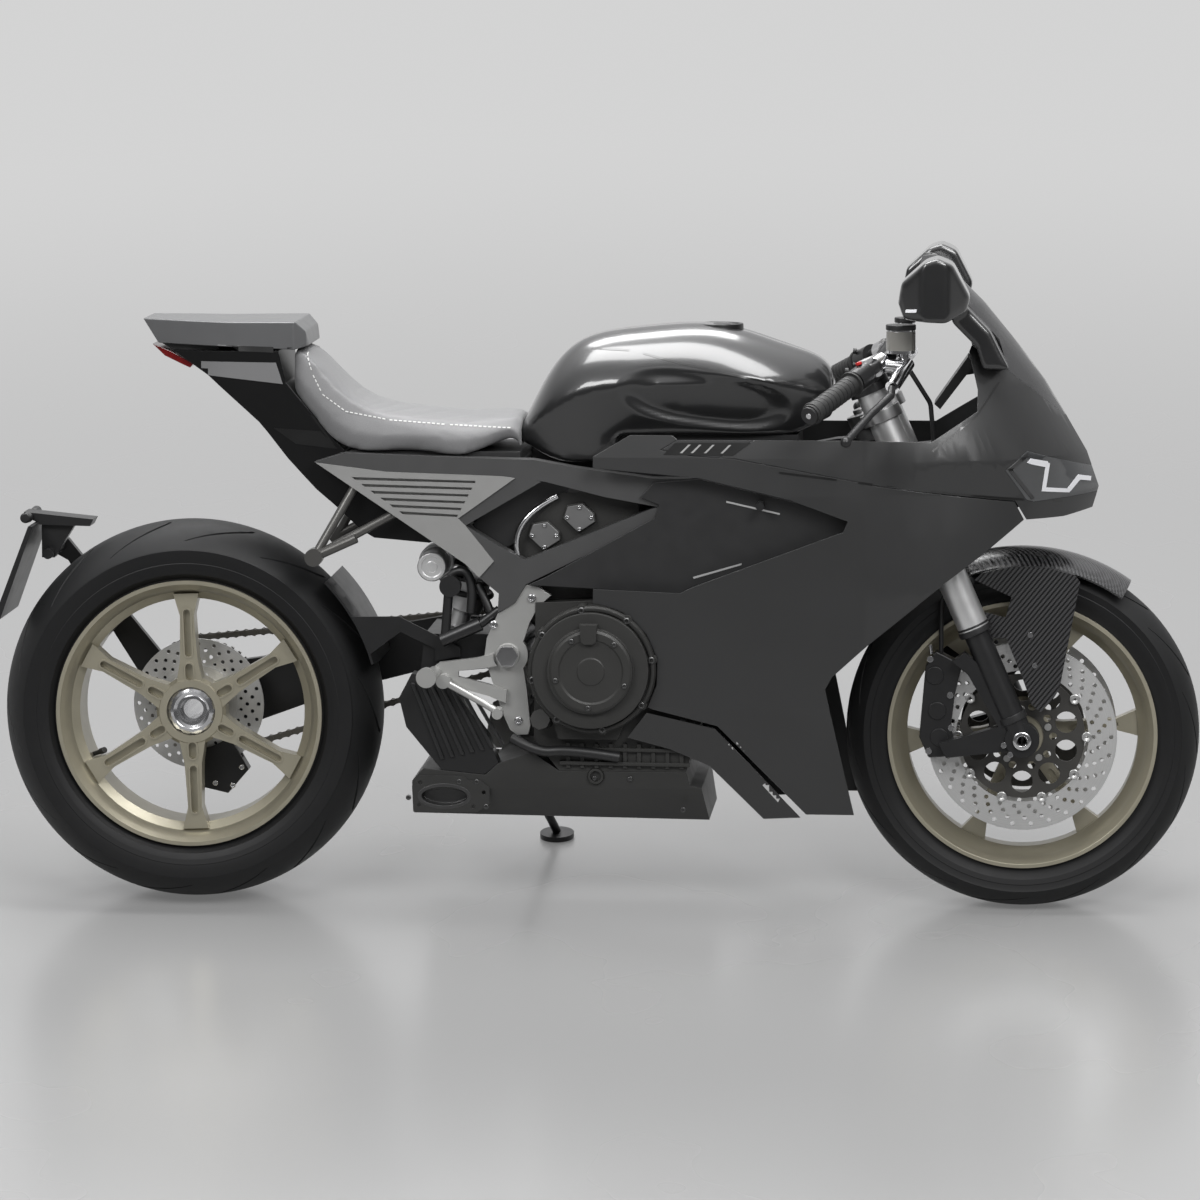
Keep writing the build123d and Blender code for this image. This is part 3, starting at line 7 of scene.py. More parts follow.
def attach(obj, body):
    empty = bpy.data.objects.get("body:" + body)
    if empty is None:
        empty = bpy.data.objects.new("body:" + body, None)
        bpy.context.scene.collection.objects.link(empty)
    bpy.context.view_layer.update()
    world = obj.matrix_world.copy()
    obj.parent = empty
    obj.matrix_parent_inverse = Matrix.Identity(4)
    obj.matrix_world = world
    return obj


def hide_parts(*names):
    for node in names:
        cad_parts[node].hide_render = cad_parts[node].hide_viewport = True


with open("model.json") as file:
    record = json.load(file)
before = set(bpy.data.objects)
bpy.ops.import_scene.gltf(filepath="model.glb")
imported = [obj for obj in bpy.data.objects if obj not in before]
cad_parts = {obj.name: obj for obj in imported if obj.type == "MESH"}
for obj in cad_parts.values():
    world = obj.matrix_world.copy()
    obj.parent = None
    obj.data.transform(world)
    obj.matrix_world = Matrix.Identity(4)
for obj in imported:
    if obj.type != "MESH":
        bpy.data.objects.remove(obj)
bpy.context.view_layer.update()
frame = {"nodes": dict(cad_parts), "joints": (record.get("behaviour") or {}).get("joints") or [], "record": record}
bpy.ops.object.select_all(action="DESELECT")

# ---------------------------------------------------------------- the stance
# The machine stands on its two tyres and its side stand, leaning to its left. Every new piece is drawn on
# the upright machine, in millimetres from the ground below the rear axle, then leans with the rest.
MM = 0.001
WHEELBASE = 1420
REAR_HUB_Z = 325.9
FRONT_HUB_Z = 299.9
joints = {joint["name"]: joint for joint in frame["joints"]}
rear_hub = Vector(joints["rear_wheel_spin"]["pos_m"])
front_hub = Vector(joints["front_wheel_spin"]["pos_m"])
across = Vector(joints["rear_wheel_spin"]["axis"]).normalized()
run = (front_hub - rear_hub).normalized()
rise = run.cross(across)
hub_slope = math.atan2(REAR_HUB_Z - FRONT_HUB_Z, WHEELBASE)
ahead = run * math.cos(hub_slope) + rise * math.sin(hub_slope)
upward = rise * math.cos(hub_slope) - run * math.sin(hub_slope)
LEAN_TURN = Matrix((ahead, across, upward)).transposed().to_4x4()
STANCE = Matrix.Translation(rear_hub - upward * REAR_HUB_Z * MM) @ LEAN_TURN


def at(x, y, z):
    """A place on the upright machine, in metres."""
    return Vector((x * MM, y * MM, z * MM))


# ---------------------------------------------------------------- studio
# A pale floor that runs out into pale air, four wide soft lamps, and the viewer's place beside the machine.
# Floor and air show as light grey to the eye and in reflections, and the floor still takes a shadow.
def placed(name, data):
    """A new object of this data, linked into the scene."""
    thing = bpy.data.objects.new(name, data)
    bpy.context.scene.collection.objects.link(thing)
    return thing


CAMERA_PLACE = (1447.9, -10150.7, 1756.4)
CAMERA_YAW = -0.073736
CAMERA_PITCH = -0.121135
FOCAL_PX = 6000
IMAGE_PX = 1200
camera_data = bpy.data.cameras.new("viewer")
camera_data.sensor_width = 36
camera_data.lens = camera_data.sensor_width * FOCAL_PX / IMAGE_PX
camera_data.clip_end = 60
camera = placed("viewer", camera_data)
sight = Vector((math.sin(CAMERA_YAW) * math.cos(CAMERA_PITCH), math.cos(CAMERA_YAW) * math.cos(CAMERA_PITCH),
                math.sin(CAMERA_PITCH)))
sideways = Vector((math.cos(CAMERA_YAW), -math.sin(CAMERA_YAW), 0))
camera_turn = Matrix((sideways, sideways.cross(sight), -sight)).transposed().to_4x4()
camera.matrix_world = STANCE @ Matrix.Translation(at(*CAMERA_PLACE)) @ camera_turn
bpy.context.scene.camera = camera
bpy.context.scene.view_settings.view_transform = "Standard"


class Wire:
    """A shader socket that takes part in sums: every operator adds one Math node."""

    def __init__(self, owner, socket):
        self.owner = owner
        self.socket = socket

    def maths(self, operation, *others):
        return self.owner.node("Math", {"operation": operation}, [self, *others])

    def __add__(self, other):
        return self.maths("ADD", other)

    def __mul__(self, other):
        return self.maths("MULTIPLY", other)

    def __sub__(self, other):
        return self.maths("SUBTRACT", other)

    def __rsub__(self, other):
        return self.owner.node("Math", {"operation": "SUBTRACT"}, [other, self])

    def __gt__(self, other):
        return self.maths("GREATER_THAN", other)

    def __lt__(self, other):
        return self.maths("LESS_THAN", other)

    __radd__ = __add__
    __rmul__ = __mul__


class Nodes:
    """The shader nodes of one finish, or of the air round the machine."""

    def __init__(self, tree):
        self.tree = tree

    def node(self, kind, settings, sockets, output=0):
        new = self.tree.nodes.new("ShaderNode" + kind)
        for setting, value in settings.items():
            setattr(new, setting, value)
        pairs = sockets.items() if isinstance(sockets, dict) else enumerate(sockets)
        for socket, value in pairs:
            if isinstance(value, Wire):
                self.tree.links.new(value.socket, new.inputs[socket])
            else:
                new.inputs[socket].default_value = value
        return Wire(self, new.outputs[output])

    def ramp(self, value, start, end, low, high):
        """Runs softly from low at the start to high at the end."""
        return self.node("MapRange", {"interpolation_type": "SMOOTHSTEP"}, [value, start, end, low, high])


class Finish(Nodes):
    """One surface finish: a principled shader whose colour and roughness vary with the piece's own place."""

    def __init__(self, name, colour, roughness, metallic=0.0, **fixed):
        self.material = bpy.data.materials.new(name)
        self.material.use_nodes = True
        super().__init__(self.material.node_tree)
        self.shader = self.tree.nodes["Principled BSDF"]
        self.colour = colour
        self.shader.inputs["Base Color"].default_value = (*colour, 1)
        self.shader.inputs["Roughness"].default_value = roughness
        self.shader.inputs["Metallic"].default_value = metallic
        for socket, value in fixed.items():
            self.shader.inputs[socket.replace("_", " ")].default_value = value
        self.place = self.node("TexCoord", {}, {}, "Object")

    def feed(self, socket, wire):
        self.tree.links.new(wire.socket, self.shader.inputs[socket])

    def noise(self, scale, detail=3.0):
        return self.node("TexNoise", {}, {"Vector": self.place, "Scale": scale, "Detail": detail})

    def mixed(self, mask, first, second):
        """The first colour where the mask is 0 and the second where it is 1."""
        return self.node("Mix", {"data_type": "RGBA"}, {0: mask, 6: (*first, 1), 7: (*second, 1)}, 2)

    def bump(self, height, strength, depth):
        sockets = {"Strength": strength, "Distance": depth, "Height": height}
        self.feed("Normal", self.node("Bump", {}, sockets))

    def shade(self, factor):
        return tuple(channel * factor for channel in self.colour)

    def from_axle(self, hub):
        """The place's distance from an axle's line, for turned and ground pieces."""
        offset = self.node("VectorMath", {"operation": "SUBTRACT"}, [self.place, tuple(hub)])
        along = self.node("VectorMath", {"operation": "DOT_PRODUCT"}, [offset, tuple(across)], "Value")
        whole = self.node("VectorMath", {"operation": "LENGTH"}, [offset], "Value")
        return (whole * whole - along * along).maths("SQRT")


def worn_finish(name, colour, roughness, metallic=0.0, mottle=0.12, grain=900.0, relief=0.00004, **fixed):
    """A painted, cast or moulded surface: soft mottling, uneven gloss and a fine grain."""
    finish = Finish(name, colour, roughness, metallic, **fixed)
    cloud = finish.noise(7.0, 4.0)
    finish.feed("Base Color", finish.mixed(cloud, finish.shade(1 - mottle), finish.shade(1 + mottle)))
    finish.feed("Roughness", finish.noise(38.0) * (roughness * 0.3) + roughness * 0.85)
    finish.bump(finish.noise(grain, 2.0), 0.5, relief)
    return finish


def seen_rays(owner):
    """1 where a surface is looked at, straight or by way of metal or glass, and 0 for the light it gives."""
    camera_ray = owner.node("LightPath", {}, {}, "Is Camera Ray")
    glossy_ray = owner.node("LightPath", {}, {}, "Is Glossy Ray")
    return camera_ray.maths("MAXIMUM", glossy_ray)


# the floor's glow, its share near the machine and far off, and where it starts and ends, in metres
FLOOR_GLOW = 0.655
GLOW_NEAR = 0.2
GLOW_FAR = 1.0
GLOW_START = 0.8
GLOW_END = 5.5
FLOOR_SIZE = 40
floor_finish = Finish("pale_sweep", (0.29, 0.29, 0.29), 0.3, Coat_Weight=0.8, Coat_Roughness=0.22)
floor_finish.feed("Roughness", floor_finish.noise(1.5) * 0.06 + 0.24)
distance = floor_finish.node("VectorMath", {"operation": "LENGTH"}, [floor_finish.place], "Value")
far_away = floor_finish.ramp(distance, GLOW_START, GLOW_END, GLOW_NEAR, GLOW_FAR)
glow_colour = (FLOOR_GLOW, FLOOR_GLOW, FLOOR_GLOW, 1)
glow = floor_finish.node("Emission", {}, {"Color": glow_colour, "Strength": 1.0})
lit = Wire(floor_finish, floor_finish.shader.outputs[0])
floor_look = floor_finish.node("MixShader", {}, [seen_rays(floor_finish) * far_away, lit, glow])
surface = floor_finish.tree.nodes["Material Output"].inputs["Surface"]
floor_finish.tree.links.new(floor_look.socket, surface)
bpy.ops.mesh.primitive_plane_add(size=1)
floor = bpy.context.object
floor.name = "floor"
bpy.ops.object.mode_set(mode="EDIT")
bpy.ops.mesh.select_all(action="SELECT")
bpy.ops.transform.resize(value=(FLOOR_SIZE, FLOOR_SIZE, 1))
bpy.ops.object.mode_set(mode="OBJECT")
floor.data.materials.append(floor_finish.material)

# the air's strength as light and to the eye, and as a reflection: level, from above and from behind
AIR_COLOUR = (1, 1, 1.01, 1)
AIR_LIGHT = 0.16
AIR_SEEN = 0.65
AIR_LEVEL = 0.1
AIR_ABOVE = 0.75
AIR_BEHIND = 0.45
world = bpy.data.worlds.new("studio_air")
bpy.context.scene.world = world
world.use_nodes = True
air = Nodes(world.node_tree)
way = air.node("TexCoord", {}, {}, "Generated")
above = air.ramp(air.node("SeparateXYZ", {}, [way], "Z"), 0.25, 0.8, 0, AIR_ABOVE)
behind = air.ramp(air.node("SeparateXYZ", {}, [way], "Y"), -0.1, 0.6, 0, AIR_BEHIND)
is_glossy = air.node("LightPath", {}, {}, "Is Glossy Ray")
is_camera = air.node("LightPath", {}, {}, "Is Camera Ray")
reflected = air.node("Mix", {}, {"Factor": is_glossy, "A": AIR_LIGHT, "B": above + AIR_LEVEL + behind})
seen = air.node("Mix", {}, {"Factor": is_camera, "A": reflected, "B": AIR_SEEN})
background = air.tree.nodes["Background"]
background.inputs["Color"].default_value = AIR_COLOUR
air.tree.links.new(seen.socket, background.inputs["Strength"])

# name, place, aim, width, depth, watts
LAMPS = (
    ("overhead", (0.1, 0.2, 3.2), (0.0, 0.0, 0.4), 3.4, 1.1, 110),
    ("front_side", (2.2, -3.4, 4.1), (0.3, 0.0, 0.6), 2.4, 1.6, 150),
    ("rear_side", (-2.4, -3.4, 4.1), (-0.3, 0.0, 0.6), 2.2, 1.6, 130),
    ("far_side", (-0.5, 3.6, 4.1), (0.0, 0.0, 0.6), 3.0, 1.4, 100),
)
for name, place, aim, width, depth, watts in LAMPS:
    lamp_data = bpy.data.lights.new(name, "AREA")
    lamp_data.shape = "RECTANGLE"
    lamp_data.size = width
    lamp_data.size_y = depth
    lamp_data.energy = watts
    lamp = placed(name, lamp_data)
    lamp.location = place
    lamp.rotation_euler = (Vector(aim) - Vector(place)).to_track_quat("-Z", "Y").to_euler()

# ---------------------------------------------------------------- rear tyre
# A wide sport tyre of black rubber on a 17 inch rim: a round crown, a smooth shoulder with a few curved
# grooves, and fine moulded rings round the side wall.
body_of = {}
for body, members in frame["record"]["behaviour"]["bodies"].items():
    for member in members:
        body_of[member] = body


def only(piece):
    bpy.ops.object.select_all(action="DESELECT")
    piece.select_set(True)
    bpy.context.view_layer.objects.active = piece


def modified(piece, kind, **settings):
    """Adds one modifier, sets it and applies it."""
    only(piece)
    modifier = piece.modifiers.new(kind.lower(), kind)
    for setting, value in settings.items():
        setattr(modifier, setting, value)
    bpy.ops.object.modifier_apply(modifier=modifier.name)
    return piece


def smoothed(piece, crease):
    """Smooths the faces between the edges that are sharper than the crease in degrees."""
    only(piece)
    bpy.ops.object.shade_smooth_by_angle(angle=math.radians(crease))
    return piece


def rounded(piece, width, segments=2, crease=32):
    """Breaks the sharp edges by the width in millimetres and smooths the faces between them."""
    modified(piece, "BEVEL", width=width * MM, segments=segments, limit_method="ANGLE",
             angle_limit=math.radians(crease))
    smoothed(piece, crease)
    modified(piece, "WEIGHTED_NORMAL", weight=100, keep_sharp=True)
    return piece


def loop_of(name, corners):
    """A closed wire through the corners, begun as a circle with one point for each."""
    bpy.ops.mesh.primitive_circle_add(vertices=len(corners))
    wire = bpy.context.object
    wire.name = name
    for point, corner in zip(wire.data.vertices, corners):
        point.co = corner
    return wire


def edited(piece, *steps):
    """Runs edit-mode operators on the whole piece, then turns its faces outwards."""
    only(piece)
    bpy.ops.object.mode_set(mode="EDIT")
    bpy.ops.mesh.select_all(action="SELECT")
    for operator, settings in steps:
        operator(**settings)
    bpy.ops.mesh.select_all(action="SELECT")
    bpy.ops.mesh.remove_doubles(threshold=0.00001)
    bpy.ops.mesh.normals_make_consistent(inside=False)
    bpy.ops.object.mode_set(mode="OBJECT")
    return piece


def turned(name, section, x, z, steps=96):
    """Spins a closed section of (y, r) round the axle at (x, z)."""
    wire = loop_of(name, [at(x, y, z + r) for y, r in section])
    spin = {"steps": steps, "angle": 2 * math.pi, "center": at(x, 0, z), "axis": (0, 1, 0)}
    return edited(wire, (bpy.ops.mesh.spin, spin))


def slab(name, outline, y_low, y_high):
    """A plate between two y values, cut to an (x, z) outline."""
    wire = loop_of(name, [at(x, y_low, z) for x, z in outline])
    push = {"TRANSFORM_OT_translate": {"value": (0, (y_high - y_low) * MM, 0)}}
    return edited(wire, (bpy.ops.mesh.edge_face_add, {}), (bpy.ops.mesh.extrude_region_move, push))


def rod(name, start, end, radius, sides=24):
    """A round bar from one place to another."""
    first = at(*start)
    path = at(*end) - first
    bpy.ops.mesh.primitive_cylinder_add(vertices=sides, radius=radius * MM, depth=path.length)
    bar = bpy.context.object
    bar.name = name
    turn = path.to_track_quat("Z", "Y").to_matrix().to_4x4()
    bar.data.transform(Matrix.Translation(first + path / 2) @ turn)
    return bar


def joined(name, parts):
    """The parts as one piece."""
    bpy.ops.object.select_all(action="DESELECT")
    for part in parts:
        part.select_set(True)
    bpy.context.view_layer.objects.active = parts[0]
    bpy.ops.object.join()
    parts[0].name = name
    parts[0].data.name = name
    return parts[0]


def settled(piece, finish, body):
    """Leans the finished piece with the machine and gives it its finish and its carrier."""
    piece.data.transform(STANCE @ piece.matrix_world)
    piece.matrix_world = Matrix.Identity(4)
    piece.data.materials.clear()
    piece.data.materials.append(finish.material)
    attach(piece, body)
    piece.select_set(False)
    return piece


def stands_for(piece, node, finish):
    """Settles a piece that takes the place of a plain solid."""
    settled(piece, finish, body_of[node])
    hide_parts(node)
    return piece


def trim(name, parts, ease, finish, body, segments=2):
    """Small parts as one piece with broken edges, settled on the machine."""
    return settled(rounded(joined(name, parts), ease, segments), finish, body)


def carved(piece, cutter):
    """Takes the cutter's shape out of the piece."""
    modified(piece, "BOOLEAN", object=cutter, operation="DIFFERENCE", solver="EXACT")
    bpy.data.objects.remove(cutter)
    return piece


def copy_of(node):
    """An upright copy of a solid with its loose facets merged into whole faces."""
    piece = placed(node + "_finished", frame["nodes"][node].data.copy())
    piece.data.transform(STANCE.inverted())
    flat = {"angle_limit": math.radians(0.6)}
    edited(piece, (bpy.ops.mesh.remove_doubles, {"threshold": 0.00002}),
           (bpy.ops.mesh.dissolve_limited, flat))
    if piece.data.has_custom_normals:
        bpy.ops.mesh.customdata_custom_splitnormals_clear()
    return piece


def refined(node, finish, ease=1.2, crease=32, segments=2):
    """The solid's own shape with its edges broken, in its real finish."""
    return stands_for(rounded(copy_of(node), ease, segments, crease), node, finish)


def tyre_finish(name, hub, tread_radius):
    """Black rubber, a little duller and darker on the tread than on the side wall."""
    finish = Finish(name, (0.012, 0.012, 0.0125), 0.55, Specular_IOR_Level=0.25)
    cloud = finish.noise(9.0, 4.0)
    tread = (finish.from_axle(hub) > tread_radius) * 0.6
    mask = tread + cloud * 0.3
    finish.feed("Base Color", finish.mixed(mask, (0.006, 0.006, 0.0064), (0.014, 0.0142, 0.0146)))
    finish.feed("Roughness", finish.noise(60.0) * 0.12 + tread * 0.1 + 0.44)
    finish.bump(finish.noise(700.0, 2.0), 0.5, 0.00006)
    return finish


BEAD_R = 218.4
FLANGE_R = 228.5
TYRE_WALL = 11
GROOVES = 14
GROOVE_STEPS = 6
ARCH_STEPS = 24


def crown(half, radius, shoulder, y):
    """Radius of a round-crowned tyre at the distance y from its middle."""
    drop = radius - shoulder
    arc = (half * half + drop * drop) / (2 * drop)
    return radius - arc + math.sqrt(arc * arc - y * y)


def tyre_section(half, radius, shoulder, bead, belly):
    """The (y, r) section of a mounted tyre, from one bead round the tread to the other and back inside."""
    wall = [(bead, BEAD_R), (bead, FLANGE_R + 3), (half - 9, FLANGE_R + 12),
            (half - 4.5, belly), (half - 4.2, belly + 1.2),
            (half - 2.2, belly + 9), (half - 2.6, belly + 10.2), (half - 1, belly + 18), (half, shoulder)]
    across_tread = [half * math.cos(step * math.pi / ARCH_STEPS) for step in range(1, ARCH_STEPS)]
    arch = [(y, crown(half, radius, shoulder, y)) for y in across_tread]
    outside = wall + arch + [(-y, r) for y, r in reversed(wall)]
    inner = half - TYRE_WALL
    inside = [(12 - bead, BEAD_R), (-inner, belly), (-inner, shoulder - 4), (0, radius - 13),
              (inner, shoulder - 4), (inner, belly), (bead - 12, BEAD_R)]
    return outside + inside


def skin_faces(first, count, rings):
    """The faces of a closed skin over rings of points, numbered from the first point."""
    last = first + count * (rings - 1)
    faces = [tuple(range(first, first + count)), tuple(range(last + count - 1, last - 1, -1))]
    for start in range(first, last, count):
        for corner in range(count):
            a = start + corner
            b = start + (corner + 1) % count
            faces.append((a, a + count, b + count, b))
    return faces


def shell_of(name, points, faces):
    """A piece from its corner points and its faces."""
    mesh = bpy.data.meshes.new(name)
    mesh.from_pydata(points, [], faces)
    return placed(name, mesh)


def groove_cutter(half, radius, shoulder, x, reach):
    """Curved tread grooves on both sides, each reach degrees long and widest near its middle."""
    grooves = []
    for side in (-1, 1):
        for turn in range(GROOVES):
            start = 2 * math.pi * (turn + 0.25 * side) / GROOVES
            corners = []
            for step in range(GROOVE_STEPS + 1):
                share = step / GROOVE_STEPS
                y = side * half * (0.22 + 0.62 * share)
                middle = start + math.radians(reach) * share ** 1.6
                width = 0.0042 * (0.35 + math.sin(math.pi * (0.1 + 0.8 * share))) / radius * 1000
                for offset, lift in ((-width, 5), (width, 5), (width, -3.2), (-width, -3.2)):
                    r = crown(half, radius, shoulder, y) + lift
                    angle = middle + offset
                    corners.append(at(x + r * math.cos(angle), y, radius + r * math.sin(angle)))
            grooves.append(shell_of("groove", corners, skin_faces(0, 4, GROOVE_STEPS + 1)))
    return edited(joined("grooves", grooves))


def tyre(node, size, bead, belly, x, reach, rubber):
    """A mounted tyre of a half width, radius and shoulder radius, standing on the ground at x."""
    carcass = turned(node + "_carcass", tyre_section(*size, bead, belly), x, size[1], 160)
    carved(carcass, groove_cutter(*size, x, reach))
    stands_for(smoothed(carcass, 28), node, rubber)


rear_rubber = tyre_finish("rear_tyre_rubber", rear_hub, 0.284)
tyre("rear_tyre", (100, REAR_HUB_Z, 282), 76.9, 250, 0, 20, rear_rubber)

# ---------------------------------------------------------------- rear wheel
# A forged alloy wheel in champagne bronze, six spokes near its open side. Every spoke has a long milled
# pocket, the hub a short one between each pair, and one chromed ring nut holds it all.
def bronze_finish(name):
    """Champagne bronze lacquer over a forging, softly mottled."""
    finish = Finish(name, (0.36, 0.335, 0.26), 0.34, 0.6, Coat_Weight=0.2, Coat_Roughness=0.2)
    cloud = finish.noise(14.0, 4.0)
    finish.feed("Base Color", finish.mixed(cloud, finish.shade(0.86), finish.shade(1.12)))
    finish.feed("Roughness", finish.noise(55.0) * 0.12 + 0.3)
    finish.bump(finish.noise(1400.0, 2.0), 0.35, 0.00003)
    return finish


def stadium(length_from, length_to, half, angle, x, z):
    """The outline of a round-ended slot along a spoke."""
    corners = []
    for centre, start in ((length_to, -90), (length_from, 90)):
        for step in range(7):
            turn = math.radians(start + 30 * step)
            corners.append((centre + half * math.cos(turn), half * math.sin(turn)))
    c = math.cos(math.radians(angle))
    s = math.sin(math.radians(angle))
    return [(x + u * c - v * s, z + u * s + v * c) for u, v in corners]


REAR_SPOKES = (92, 32, -28, -88, 212, 152)
SPOKE_FACE = -56
# start, end and half width of the long pocket in a spoke and of the short one in the hub
POCKETS = ((100, 170, 6.2), (60, 76, 6.8))
LIP_WIDTH = 2.6
rear_rim = copy_of("rear_rim")
pockets = []
lips = []
for angle in REAR_SPOKES:
    for low, high, half in POCKETS:
        pocket, edge, hole = (stadium(low, high, half + more, angle, 0, REAR_HUB_Z)
                              for more in (0, LIP_WIDTH, -0.3))
        pockets.append(slab("pocket", pocket, SPOKE_FACE - 4, SPOKE_FACE + 11))
        lip = slab("lip", edge, SPOKE_FACE - 1.8, SPOKE_FACE + 1.5)
        lips.append(carved(lip, slab("hole", hole, SPOKE_FACE - 4, SPOKE_FACE + 4)))
carved(rear_rim, joined("pockets", pockets))
rear_rim = joined("rear_rim", [rear_rim] + lips)
rounded(rear_rim, 1.6, 2, 30)
stands_for(rear_rim, "rear_rim", bronze_finish("rear_wheel_bronze"))

chrome = worn_finish("polished_steel", (0.62, 0.62, 0.63), 0.16, 1.0, 0.04, 300.0, 0.00001)
ring_nut = copy_of("rear_axle")
NOTCHES = 12
NOTCH_RING = 44
notches = []
for turn in range(NOTCHES):
    angle = 2 * math.pi * turn / NOTCHES
    x = NOTCH_RING * math.cos(angle)
    z = REAR_HUB_Z + NOTCH_RING * math.sin(angle)
    notches.append(rod("notch", (x, -60, z), (x, -40, z), 6, 16))
notches.append(rod("bore", (0, -90, REAR_HUB_Z), (0, -24, REAR_HUB_Z), 21, 64))
carved(ring_nut, joined("notches", notches))
stands_for(rounded(ring_nut, 0.7), "rear_axle", chrome)
black_plastic = worn_finish("black_plastic", (0.009, 0.009, 0.0095), 0.46, 0.0, 0.2, 500.0, 0.00006)
VALVE = math.radians(205)


def valve_place(r, y):
    return (r * math.cos(VALVE), y, REAR_HUB_Z + r * math.sin(VALVE))


valve_parts = [rod("stem", valve_place(196, -10), valve_place(176, -30), 4, 16),
               rod("cap", valve_place(178, -28), valve_place(168, -38), 5.5, 12)]
trim("rear_valve", valve_parts, 0.8, black_plastic, "rear_wheel")

# ---------------------------------------------------------------- brake discs
# Ground steel rings, drilled right through, on dark carriers: one small disc at the rear hub and a pair
# of large ones at the front, which float on round bobbins.
def ground_finish(name, hub):
    """Steel ground in fine rings round its axle."""
    finish = Finish(name, (0.6, 0.6, 0.595), 0.36, 0.8)
    ring_place = {"W": finish.from_axle(hub) * 900.0, "Scale": 1.0, "Detail": 3.0}
    rings = finish.node("TexNoise", {"noise_dimensions": "1D"}, ring_place)
    finish.feed("Base Color", finish.mixed(rings, finish.shade(0.8), finish.shade(1.15)))
    finish.feed("Roughness", rings * 0.14 + 0.32)
    finish.bump(rings, 0.12, 0.00002)
    return finish


def drilled(name, outer, inner, holes, x, z, y_low, y_high, sides=14):
    """A flat ring with round holes; each row of holes is (radius, count, hole radius, first angle)."""
    drawing = bpy.data.curves.new(name, "CURVE")
    drawing.dimensions = "2D"
    drawing.fill_mode = "BOTH"
    drawing.extrude = (y_high - y_low) / 2 * MM
    circles = [(0, 0, outer, 120), (0, 0, inner, 72)]
    for ring_radius, count, hole_radius, first in holes:
        for turn in range(count):
            angle = math.radians(first + 360 * turn / count)
            circles.append((ring_radius * math.cos(angle), ring_radius * math.sin(angle), hole_radius, sides))
    for u, v, radius, corners in circles:
        circle = drawing.splines.new("POLY")
        circle.points.add(corners - 1)
        circle.use_cyclic_u = True
        for corner, point in enumerate(circle.points):
            angle = 2 * math.pi * corner / corners
            along = x + u + radius * math.cos(angle)
            up = z + v + radius * math.sin(angle)
            point.co = (along * MM, up * MM, 0, 1)
    plate = placed(name, drawing)
    only(plate)
    bpy.ops.object.convert(target="MESH")
    upright = Matrix.Rotation(math.pi / 2, 4, "X")
    plate.data.transform(Matrix.Translation(at(0, (y_low + y_high) / 2, 0)) @ upright)
    return edited(plate)


def screw_head(x, y, z, side, radius=5.0, height=4.0):
    """A button screw with its hexagon socket, its head towards the side given."""
    bpy.ops.mesh.primitive_cylinder_add(vertices=20, radius=radius * MM, depth=height * MM)
    head = bpy.context.object
    only(head)
    bpy.ops.object.mode_set(mode="EDIT")
    bpy.ops.mesh.select_mode(type="FACE")
    bpy.ops.mesh.select_all(action="DESELECT")
    bpy.ops.object.mode_set(mode="OBJECT")
    for face in head.data.polygons:
        face.select = face.normal.z > 0.9
    bpy.ops.object.mode_set(mode="EDIT")
    bpy.ops.mesh.inset(thickness=radius * 0.22 * MM)
    bpy.ops.transform.translate(value=(0, 0, height * 0.25 * MM))
    bpy.ops.mesh.inset(thickness=radius * 0.28 * MM)
    bpy.ops.mesh.extrude_region_move(TRANSFORM_OT_translate={"value": (0, 0, -height * 0.7 * MM)})
    bpy.ops.object.mode_set(mode="OBJECT")
    head.data.transform(Matrix.Translation(at(x, y, z)) @ Matrix.Rotation(math.pi / 2 * -side, 4, "X"))
    return head


def around(x, z, radius, count, first=0.0):
    """Places spaced evenly round a circle in the side view."""
    return [(x + radius * math.cos(math.radians(first + 360 * k / count)),
             z + radius * math.sin(math.radians(first + 360 * k / count))) for k in range(count)]


dark_alloy = worn_finish("dark_carrier", (0.07, 0.068, 0.064), 0.38, 0.6, 0.15, 700.0, 0.00004)
satin_alloy = worn_finish("satin_alloy", (0.42, 0.42, 0.415), 0.34, 0.8, 0.08)
rear_steel = ground_finish("rear_disc_steel", rear_hub)
rear_holes = [(84, 24, 3.4, 0), (94, 24, 3.4, 7.5), (104, 24, 3.4, 0), (74, 24, 3.0, 7.5)]
rear_disc = drilled("rear_disc_ring", 113, 62, rear_holes, 0, REAR_HUB_Z, 40.2, 44.8)
rear_carrier = turned("rear_carrier", [(36.2, 31), (36.2, 67), (40, 67), (40.2, 31)], 0, REAR_HUB_Z, 60)
bolt_heads = [screw_head(x, 34.5, z, -1, 5, 3.4) for x, z in around(0, REAR_HUB_Z, 50, 6, 15)]
rear_disc = joined("rear_disc_drilled", [rear_disc, rear_carrier] + bolt_heads)
stands_for(rounded(rear_disc, 0.4), "rear_disc", rear_steel)

